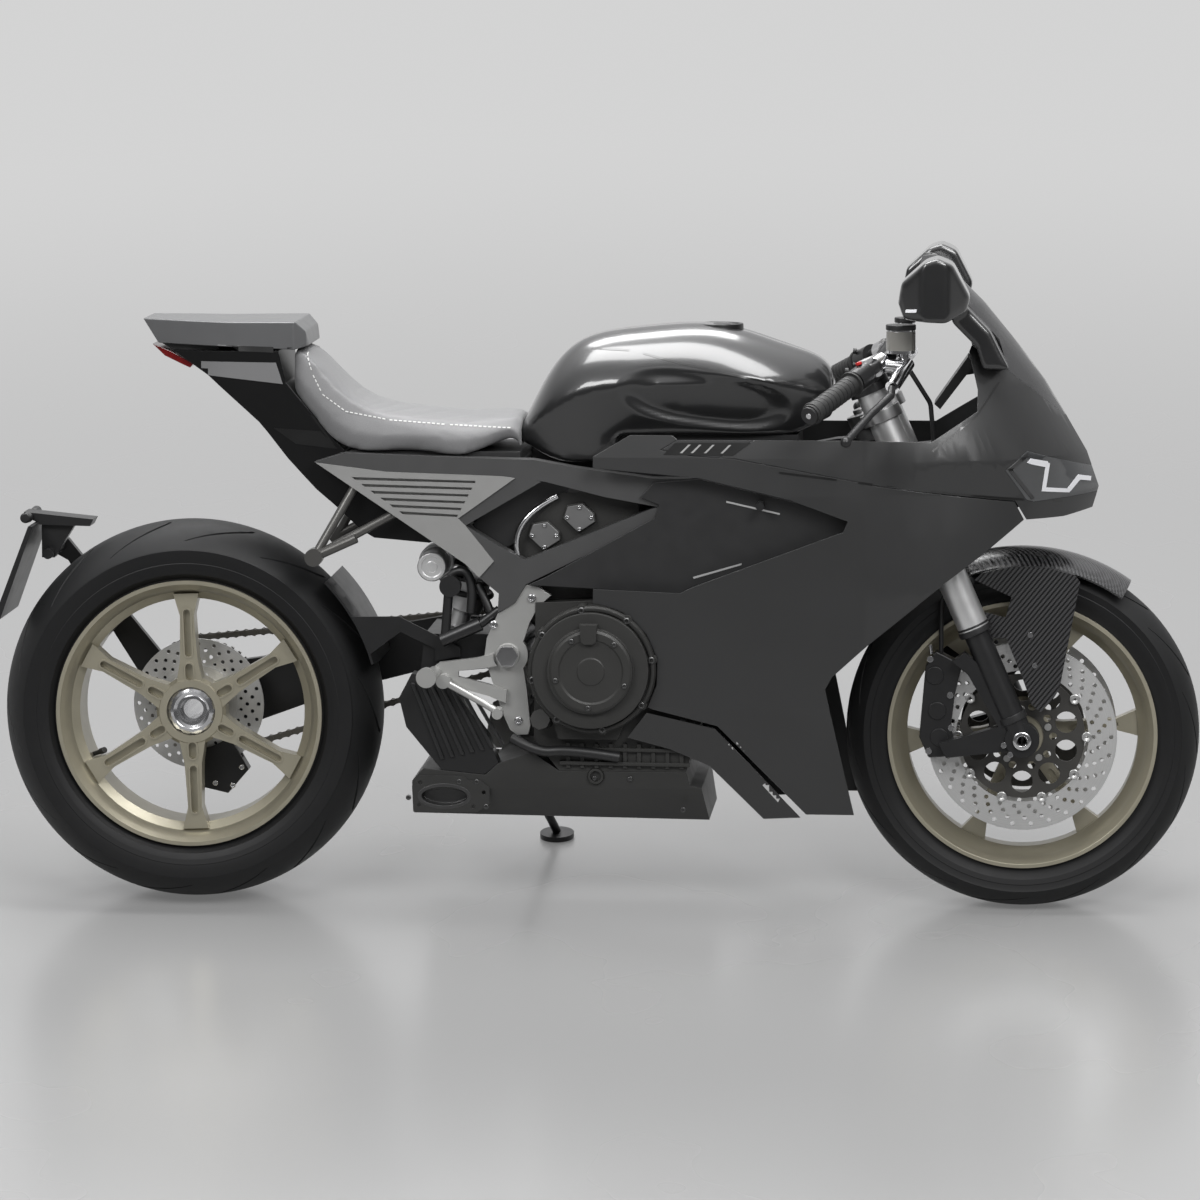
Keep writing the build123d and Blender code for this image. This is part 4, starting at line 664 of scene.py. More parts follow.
FRONT_X = WHEELBASE
front_steel = ground_finish("front_disc_steel", front_hub)
front_holes = [(120, 30, 3.8, 0), (130, 30, 3.8, 4), (140, 30, 3.8, 8), (150, 30, 3.8, 0)]
front_windows = [(78, 10, 18.5, 18), (52, 10, 6.5, 0)]
FRONT_HUB = (FRONT_X, FRONT_HUB_Z)
front_rings = []
front_carriers = []
front_bobbins = []
for side in (-1, 1):
    low, high = sorted((side * 66.2, side * 70.8))
    front_rings.append(drilled("front_ring", 160, 112, front_holes, *FRONT_HUB, low, high))
    low, high = sorted((side * 62.3, side * 66.0))
    front_carriers.append(drilled("front_carrier", 106, 36, front_windows, *FRONT_HUB, low, high, 20))
    bobbin = [(side * y, r) for y, r in ((62.5, 2), (62.5, 8.5), (72.5, 8.5), (73, 7), (72, 3.5), (71, 2))]
    for place in around(*FRONT_HUB, 109, 10):
        front_bobbins.append(turned("bobbin", bobbin, *place, 20))
    for x, z in around(*FRONT_HUB, 46, 5, 20):
        front_bobbins.append(screw_head(x, side * 67.5, z, -side, 6, 4))
stands_for(rounded(joined("front_discs_drilled", front_rings), 0.4), "front_discs", front_steel)
trim("front_disc_carriers", front_carriers, 0.6, dark_alloy, "front_wheel")
trim("front_disc_bobbins", front_bobbins, 0.4, satin_alloy, "front_wheel")

# ---------------------------------------------------------------- front wheel
# The narrower front tyre and its six-spoke wheel in the same bronze; the spokes flare where they meet the
# rim, and the hub turns on a hollow axle.
FRONT_SPOKES = (5, 65, 125, 185, 245, 305)
front_rubber = tyre_finish("front_tyre_rubber", front_hub, 0.27)
tyre("front_tyre", (60, FRONT_HUB_Z, 269), 49.9, 248, FRONT_X, 22, front_rubber)
front_rim = copy_of("front_rim")
pockets = []
for angle in FRONT_SPOKES:
    for side in (-1, 1):
        low, high = sorted((side * 9, side * 20))
        pockets.append(slab("pocket", stadium(84, 158, 5, angle, *FRONT_HUB), low, high))
carved(front_rim, joined("pockets", pockets))
rounded(front_rim, 1.4, 2, 30)
stands_for(front_rim, "front_rim", bronze_finish("front_wheel_bronze"))

# ---------------------------------------------------------------- fork
# Upside-down fork: satin silver outer tubes above, dark inner legs below them and forged black feet which
# carry the axle and the calipers.
RAKE = math.radians(23.7)
satin_silver = worn_finish("satin_silver", (0.68, 0.68, 0.68), 0.36, 0.8, 0.06, 900.0, 0.00002)
satin_black = worn_finish("satin_black", (0.01, 0.01, 0.0105), 0.36, 0.1, 0.15, 900.0, 0.00003)


def leg(s, y):
    """A place on the fork, s up its slope from the front axle."""
    return (FRONT_X - s * math.sin(RAKE), y, FRONT_HUB_Z + s * math.cos(RAKE))


refined("fork_outer_tubes", satin_silver, 1.0)
refined("fork_sliders", satin_black, 1.6)
AXLE_CAP = ((127, 7.5), (127, 15), (129.5, 15.5), (130.5, 13), (130.5, 9), (128, 7.5))
fork_trim = []
axle_trim = []
for side in (-1, 1):
    y = side * 105
    fork_trim.append(rod("dust_seal", leg(196, y), leg(206, y), 28.5, 48))
    fork_trim.append(rod("clip_ring", leg(208, y), leg(212, y), 27.6, 48))
    fork_trim.append(rod("foot_ring", leg(34, y), leg(46, y), 24.5, 48))
trim("fork_seals", fork_trim, 1.2, black_plastic, "steering")
for side in (-1, 1):
    axle_trim.append(turned("axle_cap", [(side * y, r) for y, r in AXLE_CAP], *FRONT_HUB, 36))
    for x, z in ((FRONT_X - 20, 276), (FRONT_X - 31, 292)):
        axle_trim.append(screw_head(x, side * 124, z, -side, 5, 4))
trim("axle_caps", axle_trim, 0.5, chrome, "steering")
refined("fork_clamps", worn_finish("machined_clamp", (0.36, 0.36, 0.36), 0.3, 0.9, 0.08), 2.0)

# ---------------------------------------------------------------- front calipers
# Black four-piston radial calipers bolted behind the fork feet, with their bridge bolts, pad pin and bleed
# screws in bright steel.
refined("front_calipers", satin_black, 3.0)
caliper_trim = []
caliper_bright = []
for side in (-1, 1):
    for x, z in ((1272, 405), (1276, 345), (1280, 300)):
        caliper_trim.append(rod("piston_boss", (x, side * 88, z), (x, side * 93, z), 15, 32))
    for x, z in ((1264, 433), (1262, 276), (1298, 372), (1300, 316)):
        caliper_bright.append(screw_head(x, side * 91, z, -side, 5.5, 4))
    caliper_bright.append(rod("bleed_screw", (1266, side * 80, 440), (1264, side * 80, 456), 3.2, 12))
trim("caliper_pistons", caliper_trim, 1.5, satin_black, "steering")
trim("caliper_screws", caliper_bright, 0.4, chrome, "steering")

# ---------------------------------------------------------------- handlebars
# Clip-on bars clamped round the fork tubes, rubber grips with bar-end weights, switch housings, bright
# master cylinders with reservoir pots, and long black levers.
def bar_place(t, side, lift=0.0, lead=0.0):
    """A place by a clip-on bar, t along it from its clamp, with a lift above and a lead ahead of it."""
    return (FRONT_X - 231.5 - 119.5 * t + lead, side * (140 + 195 * t), 945 - 78 * t + lift)


refined("clip_on_bars", satin_black, 1.4)
refined("grips", worn_finish("grip_rubber", (0.013, 0.013, 0.013), 0.62, 0.0, 0.2, 260.0, 0.0004), 1.5)
refined("master_cylinders", chrome, 1.5)
refined("hand_levers", satin_black, 1.0)
refined("brake_hoses", black_plastic, 0.4)
# side: radius and top of the reservoir pot over its bar
POT_SIZES = {-1: (24, 60), 1: (17, 50)}
pot_sleeves = []
pot_lids = []
grip_rings = []
bar_bright = []
switches = []
for side in (-1, 1):
    for ring in range(9):
        t = 0.52 + 0.047 * ring
        grip_rings.append(rod("grip_rib", bar_place(t, side), bar_place(t + 0.012, side), 17.8, 32))
    grip_rings.append(rod("bar_end", bar_place(1.0, side), bar_place(1.02, side), 15, 32))
    bar_bright.append(rod("bar_end_screw", bar_place(1.018, side), bar_place(1.026, side), 5, 12))
    for lift in (-12, 12):
        place = bar_place(0.35, side, lift, -19)
        switches.append(rod("switch", place, bar_place(0.35, side, lift, -25), 5, 20))
    radius, top = POT_SIZES[side]
    levels = [bar_place(0.05, side, lift, 30) for lift in (19, top - 9, top - 7, top + 2)]
    pot_sleeves.append(rod("pot_sleeve", levels[0], levels[1], radius + 0.6, 48))
    pot_lids.append(rod("pot_lid", levels[2], levels[3], radius + 1.2, 48))
trim("grip_ribs", grip_rings, 0.5, black_plastic, "steering")
trim("bar_bright_parts", bar_bright, 1.0, chrome, "steering")
trim("bar_switches", switches, 0.8, black_plastic, "steering")
pot_grey = worn_finish("reservoir_grey", (0.2, 0.195, 0.18), 0.25, 0.0, 0.1, 300.0, 0.00001, Coat_Weight=0.5)
trim("reservoir_sleeves", pot_sleeves, 0.8, pot_grey, "steering")
trim("reservoir_lids", pot_lids, 1.6, black_plastic, "steering", 3)
stop_switch = rod("stop_switch", bar_place(0.33, -1, 20, -4), bar_place(0.33, -1, 25, -6), 5.5, 24)
red_plastic = worn_finish("red_plastic", (0.42, 0.012, 0.012), 0.3, 0.0, 0.08)
settled(rounded(stop_switch, 1.0), red_plastic, "steering")

# ---------------------------------------------------------------- front mudguard
# Woven carbon under clear lacquer: an arc over the tyre and a blade down each side to the fork foot, held
# by two small screws.
WEAVE_CELL = 0.0021


def carbon_finish(name):
    """Twill of flat carbon tows: each thread passes over two and under two; one set of tows has a painted sheen, a
    lighter base colour.
    """
    finish = Finish(name, (0.022, 0.022, 0.023), 0.38, 0.3, Coat_Weight=0.5, Coat_Roughness=0.25)
    x, y, z = (finish.node("SeparateXYZ", {}, [finish.place], axis) for axis in "XYZ")
    u = (x + y * 0.4) * (1 / WEAVE_CELL)
    v = (y * 0.4 - z) * (1 / WEAVE_CELL)
    warp_and_sheen = (u.maths("FLOOR") + v.maths("FLOOR") + 4000.0).maths("MODULO", 4.0) < 1.5
    over = u.maths("FRACT")
    under = v.maths("FRACT")
    ridge = over * (1 - over) * 2 * warp_and_sheen + under * (1 - under) * 2 * (1 - warp_and_sheen)
    # painted sheen: the warp tows get a lighter base colour than the others, standing in for the fibres'
    # reflection over the real twill pattern
    finish.feed("Base Color", finish.mixed(warp_and_sheen, (0.006, 0.006, 0.0065), (0.04, 0.04, 0.0415)))
    finish.feed("Roughness", warp_and_sheen * 0.2 + 0.24)
    finish.bump(ridge, 0.35, 0.00008)
    return finish


carbon = carbon_finish("woven_carbon")
refined("front_fender", carbon, 1.0)
fender_screws = []
for side in (-1, 1):
    for x, z in ((1432, 476), (1440, 424)):
        fender_screws.append(screw_head(x, side * 93, z, -side, 4.5, 3))
trim("fender_screws", fender_screws, 0.3, chrome, "steering")

# ---------------------------------------------------------------- engine
# Dark grey castings: the cases, a stepped clutch cover with a raised inner disc and its ring of screws, two
# square cam plates with four screws each, and a bright coolant pipe over the cylinders.
casting = worn_finish("engine_casting", (0.026, 0.0258, 0.0245), 0.5, 0.3, 0.22, 420.0, 0.00025)
casting_grey = worn_finish("cam_plate_grey", (0.16, 0.16, 0.16), 0.45, 0.5, 0.12, 420.0, 0.0002)
CLUTCH = (699, 423)
refined("engine", casting, 5.0)
refined("engine_covers", casting, 3.0)
CLUTCH_FACE = [(-222.2, 0.4), (-225, 0.4), (-225, 22), (-223.4, 24), (-223.4, 52), (-226, 55), (-226, 66),
               (-223, 70), (-222.2, 70)]
CLUTCH_BAND = [(-196, 99), (-201, 99), (-202, 101), (-202, 105), (-196, 108)]
CLUTCH_NOTCH = [(680, 503), (710, 503), (708, 474), (702, 470), (688, 470), (683, 474)]
rim_screws = around(*CLUTCH, 102, 8, 10)
clutch_parts = [turned("clutch_disc", CLUTCH_FACE, *CLUTCH), turned("clutch_band", CLUTCH_BAND, *CLUTCH)]
clutch_parts += [rod("clutch_lug", (x, -199, z), (x, -150, z), 9, 24) for x, z in rim_screws]
clutch_parts.append(slab("clutch_notch", CLUTCH_NOTCH, -232, -160))
trim("clutch_cover_disc", clutch_parts, 1.2, casting, "chassis")
engine_screws = [screw_head(x, -201, z, -1, 6, 5) for x, z in rim_screws]
engine_screws += [screw_head(x, -227, z, -1, 4.5, 3.5) for x, z in around(*CLUTCH, 61, 5, 50)]
dark_steel = worn_finish("dark_steel", (0.1, 0.1, 0.1), 0.34, 0.9, 0.15)
trim("engine_screws", engine_screws, 0.3, dark_steel, "chassis")
CAM_PLATE = ((-27, -2), (-2, -26), (26, -8), (24, 6), (5, 23), (-20, 18))
CAM_SCREWS = ((-21, 0), (0, -20), (20, 0), (0, 17))
cam_plates = []
cam_screws = []
for x, z in ((613, 641), (672, 672)):
    cam_plates.append(slab("cam_plate", [(x + u, z + v) for u, v in CAM_PLATE], -118.5, -114.2))
    cam_screws += [screw_head(x + u, -119.5, z + v, -1, 3.6, 3) for u, v in CAM_SCREWS]
trim("cam_plates", cam_plates, 1.6, casting_grey, "chassis", 3)
trim("cam_screws", cam_screws, 0.3, chrome, "chassis")


def tube_along(name, places, radius, sides=10):
    """A bent pipe through the places, its line a smooth spline."""
    drawing = bpy.data.curves.new(name, "CURVE")
    drawing.dimensions = "3D"
    drawing.bevel_depth = radius * MM
    drawing.bevel_resolution = sides // 2
    drawing.use_fill_caps = True
    line = drawing.splines.new("NURBS")
    line.points.add(len(places) - 1)
    for point, place in zip(line.points, places):
        point.co = (*at(*place), 1)
    line.order_u = 3
    line.use_endpoint_u = True
    pipe = placed(name, drawing)
    only(pipe)
    bpy.ops.object.convert(target="MESH")
    return smoothed(edited(pipe), 40)


COOLANT_LINE = [(634, -112, 706), (600, -122, 690), (566, -124, 650), (566, -122, 604), (580, -114, 572)]
OIL_LINE = [(560, -150, 300), (604, -164, 276), (660, -168, 284), (742, -160, 270)]
LOOM_LINE = [(500, -118, 556), (520, -128, 520), (536, -130, 470), (548, -128, 410)]
BREATHER_LINE = [(440, -118, 560), (470, -124, 590), (494, -126, 560), (488, -124, 510)]
settled(tube_along("coolant_pipe", COOLANT_LINE, 5), chrome, "chassis")
sump_parts = []
for z in (256, 280):
    sump_parts.append(slab("sump_rail", [(641, z), (862, z - 2), (862, z + 4), (641, z + 6)], -158, -149))
for k in range(9):
    x = 652 + 24 * k
    sump_parts.append(slab("sump_rib", [(x, 250), (x + 7, 250), (x + 7, 292), (x, 292)], -155, -149))
sump_parts.append(turned("drain_ring", [(-149, 9), (-156, 9), (-156, 13), (-149, 15)], 702, 236, 36))
sump_parts.append(rod("filler_neck", (617, -150, 331), (611, -176, 335), 15, 36))
sump_parts.append(rod("filler_cap", (611.5, -174, 334.7), (610, -182, 336), 18, 8))
trim("engine_sump_parts", sump_parts, 0.8, casting, "chassis")
engine_pipes = [tube_along("oil_pipe", OIL_LINE, 9), tube_along("wire_loom", LOOM_LINE, 7),
                tube_along("breather", BREATHER_LINE, 8)]
settled(joined("engine_pipes", engine_pipes), black_plastic, "chassis")

# ---------------------------------------------------------------- chain drive
# A steel roller chain on two toothed sprockets, at the left side of the swingarm. Waisted side plates sit
# by turns inside and outside one another on their pins, and the rollers between them meet the teeth.
chain_steel = worn_finish("chain_steel", (0.22, 0.21, 0.19), 0.35, 0.95, 0.2, 700.0, 0.00004)
CHAIN_Y = 139
CHAIN_PITCH = 15.875
REAR_TEETH = 41
FRONT_TEETH = 16
REAR_SPROCKET = (0, REAR_HUB_Z)
FRONT_SPROCKET = (622, 452)
rear_pitch_radius = CHAIN_PITCH / (2 * math.sin(math.pi / REAR_TEETH))
front_pitch_radius = CHAIN_PITCH / (2 * math.sin(math.pi / FRONT_TEETH))
span = math.dist(REAR_SPROCKET, FRONT_SPROCKET)
span_angle = math.atan2(FRONT_SPROCKET[1] - REAR_HUB_Z, FRONT_SPROCKET[0])
wrap = math.pi / 2 - (rear_pitch_radius - front_pitch_radius) / span
straight = span * math.sin(wrap)
chain_length = 2 * straight + 2 * wrap * front_pitch_radius + (2 * math.pi - 2 * wrap) * rear_pitch_radius
link_count = round(chain_length / CHAIN_PITCH / 2) * 2


def on_sprocket(centre, radius, angle):
    return centre[0] + radius * math.cos(angle), centre[1] + radius * math.sin(angle)


def chain_place(distance):
    """The (x, z) of a chain pin, by its distance along the chain from the rear end of the upper run."""
    up = span_angle + wrap
    down = span_angle - wrap
    if distance < straight:
        x, z = on_sprocket(REAR_SPROCKET, rear_pitch_radius, up)
        return x + distance * math.sin(up), z - distance * math.cos(up)
    distance -= straight
    if distance < 2 * wrap * front_pitch_radius:
        return on_sprocket(FRONT_SPROCKET, front_pitch_radius, up - distance / front_pitch_radius)
    distance -= 2 * wrap * front_pitch_radius
    if distance < straight:
        x, z = on_sprocket(FRONT_SPROCKET, front_pitch_radius, down)
        return x + distance * math.sin(down), z - distance * math.cos(down)
    return on_sprocket(REAR_SPROCKET, rear_pitch_radius, down - (distance - straight) / rear_pitch_radius)


# one side plate with its waist, drawn about its own middle: (along, across)
LINK_OUTLINE = ((-7.9, 6.2), (-3, 4.2), (3, 4.2), (7.9, 6.2), (12.4, 4.2), (14, 0), (12.4, -4.2), (7.9, -6.2),
                (3, -4.2), (-3, -4.2), (-7.9, -6.2), (-12.4, -4.2), (-14, 0), (-12.4, 4.2))
PLATE_THICKNESS = 1.9
OUTER_PLATE = 6.6
INNER_PLATE = 4.4
ROLLER_R = 4.6
ROLLER_SIDES = 10
PIN_REACH = 8.6
pins = [chain_place(k * chain_length / link_count) for k in range(link_count)]
chain_points = []
chain_faces = []
for k, (x, z) in enumerate(pins):
    next_x, next_z = pins[(k + 1) % link_count]
    along = Vector((next_x - x, 0, next_z - z)).normalized()
    waist = Vector((-along.z, 0, along.x))
    middle = Vector(((x + next_x) / 2, 0, (z + next_z) / 2))
    reach = OUTER_PLATE if k % 2 else INNER_PLATE
    for side in (-1, 1):
        chain_faces += skin_faces(len(chain_points), len(LINK_OUTLINE), 2)
        for depth in (reach, reach + PLATE_THICKNESS):
            for u, v in LINK_OUTLINE:
                place = middle + along * u + waist * v
                chain_points.append(at(place.x, CHAIN_Y + side * depth, place.z))
    chain_faces += skin_faces(len(chain_points), ROLLER_SIDES, 2)
    for y in (-PIN_REACH, PIN_REACH):
        for corner in range(ROLLER_SIDES):
            u, v = on_sprocket((x, z), ROLLER_R, 2 * math.pi * corner / ROLLER_SIDES)
            chain_points.append(at(u, CHAIN_Y + y, v))
chain = smoothed(edited(shell_of("chain_links", chain_points, chain_faces)), 32)
stands_for(chain, "drive_chain", chain_steel)
refined("front_sprocket", dark_steel, 0.5)
refined("rear_sprocket", chain_steel, 0.5)

# ---------------------------------------------------------------- frame
# Twin painted beams from the steering head to the seat rails, with champagne-grey louvred side panels and
# light machined pivot plates, clamped together by one hollow swingarm bolt.
WINDOW_COVER = [(489, 656), (540, 712), (620, 742), (664, 734), (640, 700), (556, 622), (532, 612)]
window_cover = slab("window_cover", WINDOW_COVER, -104, -100)
settled(rounded(window_cover, 1.2), black_plastic, "chassis")
frame_grey = worn_finish("frame_grey", (0.06, 0.06, 0.0605), 0.42, 0.3, 0.1, 700.0, 0.00005)
panel_grey = worn_finish("louvre_grey", (0.3, 0.299, 0.294), 0.38, 0.4, 0.08, 900.0, 0.00003)
machined = worn_finish("machined_alloy", (0.4, 0.4, 0.39), 0.36, 0.6, 0.08, 1100.0, 0.00003)
refined("main_frame", frame_grey, 2.5)
refined("side_panels", panel_grey, 1.0)
refined("pivot_plates", machined, 2.0)
PIVOT = (553, 440)
PIVOT_NUT = [(-160, 8), (-164, 9), (-164, 14), (-162, 15), (-162, 20), (-158, 22), (-156, 22), (-156, 8)]
pivot_nut = turned("pivot_nut", PIVOT_NUT, *PIVOT, 48)
pivot_flats = slab("pivot_flats", around(*PIVOT, 19, 6, 0), -166, -158)
pivot_bore = rod("bore", (PIVOT[0], -170, PIVOT[1]), (PIVOT[0], -150, PIVOT[1]), 8, 32)
pivot_nut = carved(joined("pivot_nut", [pivot_nut, pivot_flats]), pivot_bore)
settled(rounded(pivot_nut, 0.8), chrome, "chassis")
plate_screws = []
for x, z in ((594, 538), (571, 329), (540, 372), (529, 492)):
    plate_screws.append(screw_head(x, -148, z, -1, 7, 5))
    plate_screws.append(screw_head(x, 168, z, 1, 7, 5))
trim("plate_screws", plate_screws, 0.4, chrome, "chassis")

# ---------------------------------------------------------------- swingarm and rear brake
# One deep black cast arm on the left carries the wheel, and the small rear caliper hangs from its hub. The
# damper stands in front of the wheel inside a coil spring, with its reservoir to the right.
refined("swingarm", satin_black, 5.0)
refined("rear_caliper", satin_black, 3.0)
rear_caliper_screws = [screw_head(x, 26, z, -1, 5, 4) for x, z in ((60, 186), (30, 190), (76, 218))]
trim("rear_caliper_screws", rear_caliper_screws, 0.4, chrome, "chassis")
refined("shock_absorber", satin_silver, 2.0)
COIL_TURNS = 7
COIL_STEPS = 12
COIL_R = 38
coil_line = []
for step in range(COIL_TURNS * COIL_STEPS + 1):
    share = step / (COIL_TURNS * COIL_STEPS)
    angle = 2 * math.pi * COIL_TURNS * share
    x = 466 + 58 * share + COIL_R * math.cos(angle)
    z = 510 + 172 * share - 12 * math.cos(angle)
    coil_line.append((x, COIL_R * math.sin(angle), z))
settled(tube_along("shock_coil", coil_line, 5), satin_black, "chassis")
RESERVOIR_CAP = [(-112.2, 0.4), (-114, 0.4), (-114, 9), (-112.8, 10), (-112.8, 17), (-115, 18), (-115, 23),
                 (-112.2, 25)]
reservoir_cap = turned("reservoir_cap", RESERVOIR_CAP, 421, 585, 48)
settled(rounded(reservoir_cap, 0.4), satin_silver, "chassis")

# ---------------------------------------------------------------- hugger and plate holder
# The black hugger covers the front of the rear tyre. The plate holder reaches round the tyre's left side
# and has two short indicators over a blank board.
refined("hugger", satin_black, 0.8)
refined("plate_holder", satin_black, 1.5)
plate_lamps = [rod("indicator", (-282, side * 30, 655), (-282, side * 62, 657), 9, 24) for side in (-1, 1)]
trim("plate_lamps", plate_lamps, 3.0, satin_black, "chassis", 3)

# ---------------------------------------------------------------- exhaust box and covers
# The silencer box hides in the belly below the engine, matt black with an oval outlet in a screwed plate. A
# ribbed dark cover shields its rear bend.
exhaust_black = worn_finish("exhaust_black", (0.028, 0.028, 0.027), 0.45, 0.3, 0.2, 600.0, 0.0001)
refined("exhaust_box", exhaust_black, 3.0)


OUTLET = (445, 199)
OUTLET_PLATE = [(392, 172), (500, 172), (522, 186), (522, 214), (508, 226), (486, 226), (478, 234),
                (404, 234), (390, 216)]


def oval(half_length, half_height):
    """An outline round the exhaust's outlet."""
    turns = [math.radians(15 * k) for k in range(24)]
    return [(OUTLET[0] + half_length * math.cos(t), OUTLET[1] + half_height * math.sin(t)) for t in turns]


outlet_plate = slab("outlet_plate", OUTLET_PLATE, -152.5, -148)
carved(outlet_plate, slab("bore", oval(45, 21), -160, -140))
plate_holes = []
for x, z in ((402, 184), (512, 206), (404, 222), (494, 182)):
    plate_holes.append(rod("hole", (x, -160, z), (x, -140, z), 3.5, 16))
carved(outlet_plate, joined("holes", plate_holes))
settled(rounded(outlet_plate, 1.0), exhaust_black, "chassis")
outlet = carved(slab("exhaust_outlet", oval(46, 22), -153, -120), slab("bore", oval(39, 16), -160, -124))
settled(rounded(outlet, 1.0), dark_steel, "chassis")
cover_black = worn_finish("cover_black", (0.02, 0.02, 0.0205), 0.34, 0.4, 0.2, 600.0, 0.0001, Coat_Weight=0.3)
refined("ribbed_cover", cover_black, 1.5)
ribs = []
for k in range(7):
    x = 388 + 17 * k
    top = 392 - 3 * k
    foot = 262 + 4 * k
    ribs.append(slab("rib", [(x, top), (x + 7, top), (x + 58, foot), (x + 51, foot)], -154, -146))
trim("cover_ribs", ribs, 2.0, cover_black, "chassis")
BELLY_SCREWS = ((384, 196), (500, 224), (516, 182), (470, 224), (700, 232), (760, 232), (850, 180))
belly_screws = [screw_head(x, -151, z, -1, 4.5, 3.5) for x, z in BELLY_SCREWS]
trim("belly_screws", belly_screws, 0.3, dark_steel, "chassis")

# ---------------------------------------------------------------- radiator and airbox
# A leaning water radiator stands behind the front wheel, and the airbox fills the space under the tank. Both
# are black and hardly show behind the panels.
refined("radiator", black_plastic, 2.0)
refined("airbox", black_plastic, 3.0)

# ---------------------------------------------------------------- fairing
# Thin moulded panels in charcoal: satin sides, a glossy black chin strip, dark inner panels, and a sharp nose
# cowl which carries the lamp, the screen and the mirrors. Seams, vents and slits are thin skins on them.
def body_paint(name, colour, roughness, coat):
    """Lacquered paint with a fine fleck."""
    finish = Finish(name, colour, roughness, 0.1, Coat_Weight=coat, Coat_Roughness=0.12)
    cloud = finish.noise(5.0, 4.0)
    fleck = finish.node("TexVoronoi", {}, {"Vector": finish.place, "Scale": 2600.0})
    finish.feed("Base Color", finish.mixed(cloud * 0.6 + fleck * 0.3, finish.shade(0.82), finish.shade(1.2)))
    finish.feed("Roughness", finish.noise(26.0) * 0.05 + roughness)
    finish.bump(finish.noise(240.0, 2.0), 0.25, 0.00002)
    return finish


# where a skin starts from, and beyond which its corners have missed the piece that they are pressed onto
SKIN_START = 420
SKIN_MISSED = 400


def missed_corners(skin):
    """Selects the corners that found nothing to lie on, and says whether there are any."""
    for vertex in skin.data.vertices:
        vertex.select = abs(vertex.co.y) > SKIN_MISSED * MM
    return any(vertex.select for vertex in skin.data.vertices)


def laid_on(name, outlines, target, side, thick=1.4, cell=12):
    """A thin skin on another piece: (x, z) outlines cut into cells and pressed sideways onto its surface."""
    start = side * SKIN_START
    points = []
    faces = []
    for outline in outlines:
        faces.append(tuple(range(len(points), len(points) + len(outline))))
        points += [at(x, start, z) for x, z in outline]
    skin = shell_of(name, points, faces)
    only(skin)
    bpy.ops.object.mode_set(mode="EDIT")
    for axis, normal in ((0, (1, 0, 0)), (2, (0, 0, 1))):
        low = min(point[axis] for point in points)
        high = max(point[axis] for point in points)
        for step in range(1, int((high - low) / (cell * MM)) + 1):
            middle = [0, start * MM, 0]
            middle[axis] = low + step * cell * MM
            bpy.ops.mesh.select_all(action="SELECT")
            bpy.ops.mesh.bisect(plane_co=middle, plane_no=normal)
    bpy.ops.object.mode_set(mode="OBJECT")
    modified(skin, "SHRINKWRAP", target=target, wrap_method="PROJECT", use_project_y=True,
             use_positive_direction=side < 0, use_negative_direction=side > 0)
    if missed_corners(skin):
        bpy.ops.object.mode_set(mode="EDIT")
        bpy.ops.mesh.select_mode(type="VERT")
        bpy.ops.object.mode_set(mode="OBJECT")
        missed_corners(skin)
        bpy.ops.object.mode_set(mode="EDIT")
        bpy.ops.mesh.delete(type="VERT")
        bpy.ops.object.mode_set(mode="OBJECT")
    modified(skin, "SOLIDIFY", thickness=thick * MM, offset=0)
    return smoothed(edited(skin), 30)


def both_sides(name, outlines, nodes, finish, thick=1.4, cell=12):
    """The same skin on the right and left sides, pressed onto the outermost of the nodes."""
    target = joined("wrap", [copy_of(node) for node in nodes])
    skins = [laid_on(name, outlines, target, side, thick, cell) for side in (-1, 1)]
    bpy.data.objects.remove(target)
    settled(joined(name, skins), finish, "chassis")


def remeshed(node, voxel):
    """An upright copy of a solid, rebuilt in even cells of this size in metres."""
    return modified(copy_of(node), "REMESH", mode="VOXEL", voxel_size=voxel)


def softened(piece, passes):
    """Smooths a remeshed piece's corners and shades it as one surface."""
    modified(piece, "SMOOTH", factor=0.5, iterations=passes)
    only(piece)
    bpy.ops.object.shade_smooth()
    return piece


charcoal_gloss = body_paint("charcoal_gloss", (0.009, 0.0091, 0.0095), 0.28, 1.0)
charcoal_satin = body_paint("charcoal_satin", (0.022, 0.0222, 0.0225), 0.36, 0.3)
refined("side_fairings", charcoal_satin, 1.4)
strip_black = body_paint("strip_black", (0.003, 0.003, 0.0032), 0.2, 1.0)
refined("fairing_strips", strip_black, 1.4)
refined("inner_panels", black_plastic, 1.0)
refined("nose_cowl", charcoal_satin, 1.4)
refined("fairing_stays", satin_black, 1.5)
stands_for(softened(remeshed("mirrors", 0.003), 26), "mirrors", charcoal_gloss)
FAIRING_SKIN = ("side_fairings", "fairing_strips", "inner_panels", "nose_cowl")
deep_black = worn_finish("deep_black", (0.004, 0.004, 0.004), 0.3, 0.0, 0.2, 400.0, 0.00002, Coat_Weight=0.6)
VENT = [(818, 786), (838, 806), (965, 807), (935, 785)]
both_sides("side_vents", [VENT], FAIRING_SKIN, deep_black)
VENT_SLASHES = [[(x, 789), (x + 14, 803), (x + 18, 803), (x + 4, 789)] for x in (846, 864, 886, 914)]
both_sides("vent_slashes", VENT_SLASHES, FAIRING_SKIN, satin_alloy, 2.4, 6)
STRIP_SLOTS = [[(923, 300), (935, 308), (957, 280), (950, 268), (944, 276)],
               [(984, 224), (996, 232), (1016, 206), (1010, 194), (1003, 202)]]
both_sides("strip_slots", STRIP_SLOTS, FAIRING_SKIN, satin_silver, 2.4, 6)
PANEL_SEAMS = [[(1012, 756), (1235, 730), (1484, 701), (1484, 704.5), (1235, 733.5), (1012, 759.5)],
               [(1266, 797), (1338, 853), (1388, 925), (1391, 923), (1341, 851), (1268, 794)]]
both_sides("panel_seams", PANEL_SEAMS, FAIRING_SKIN, deep_black, 1.0)
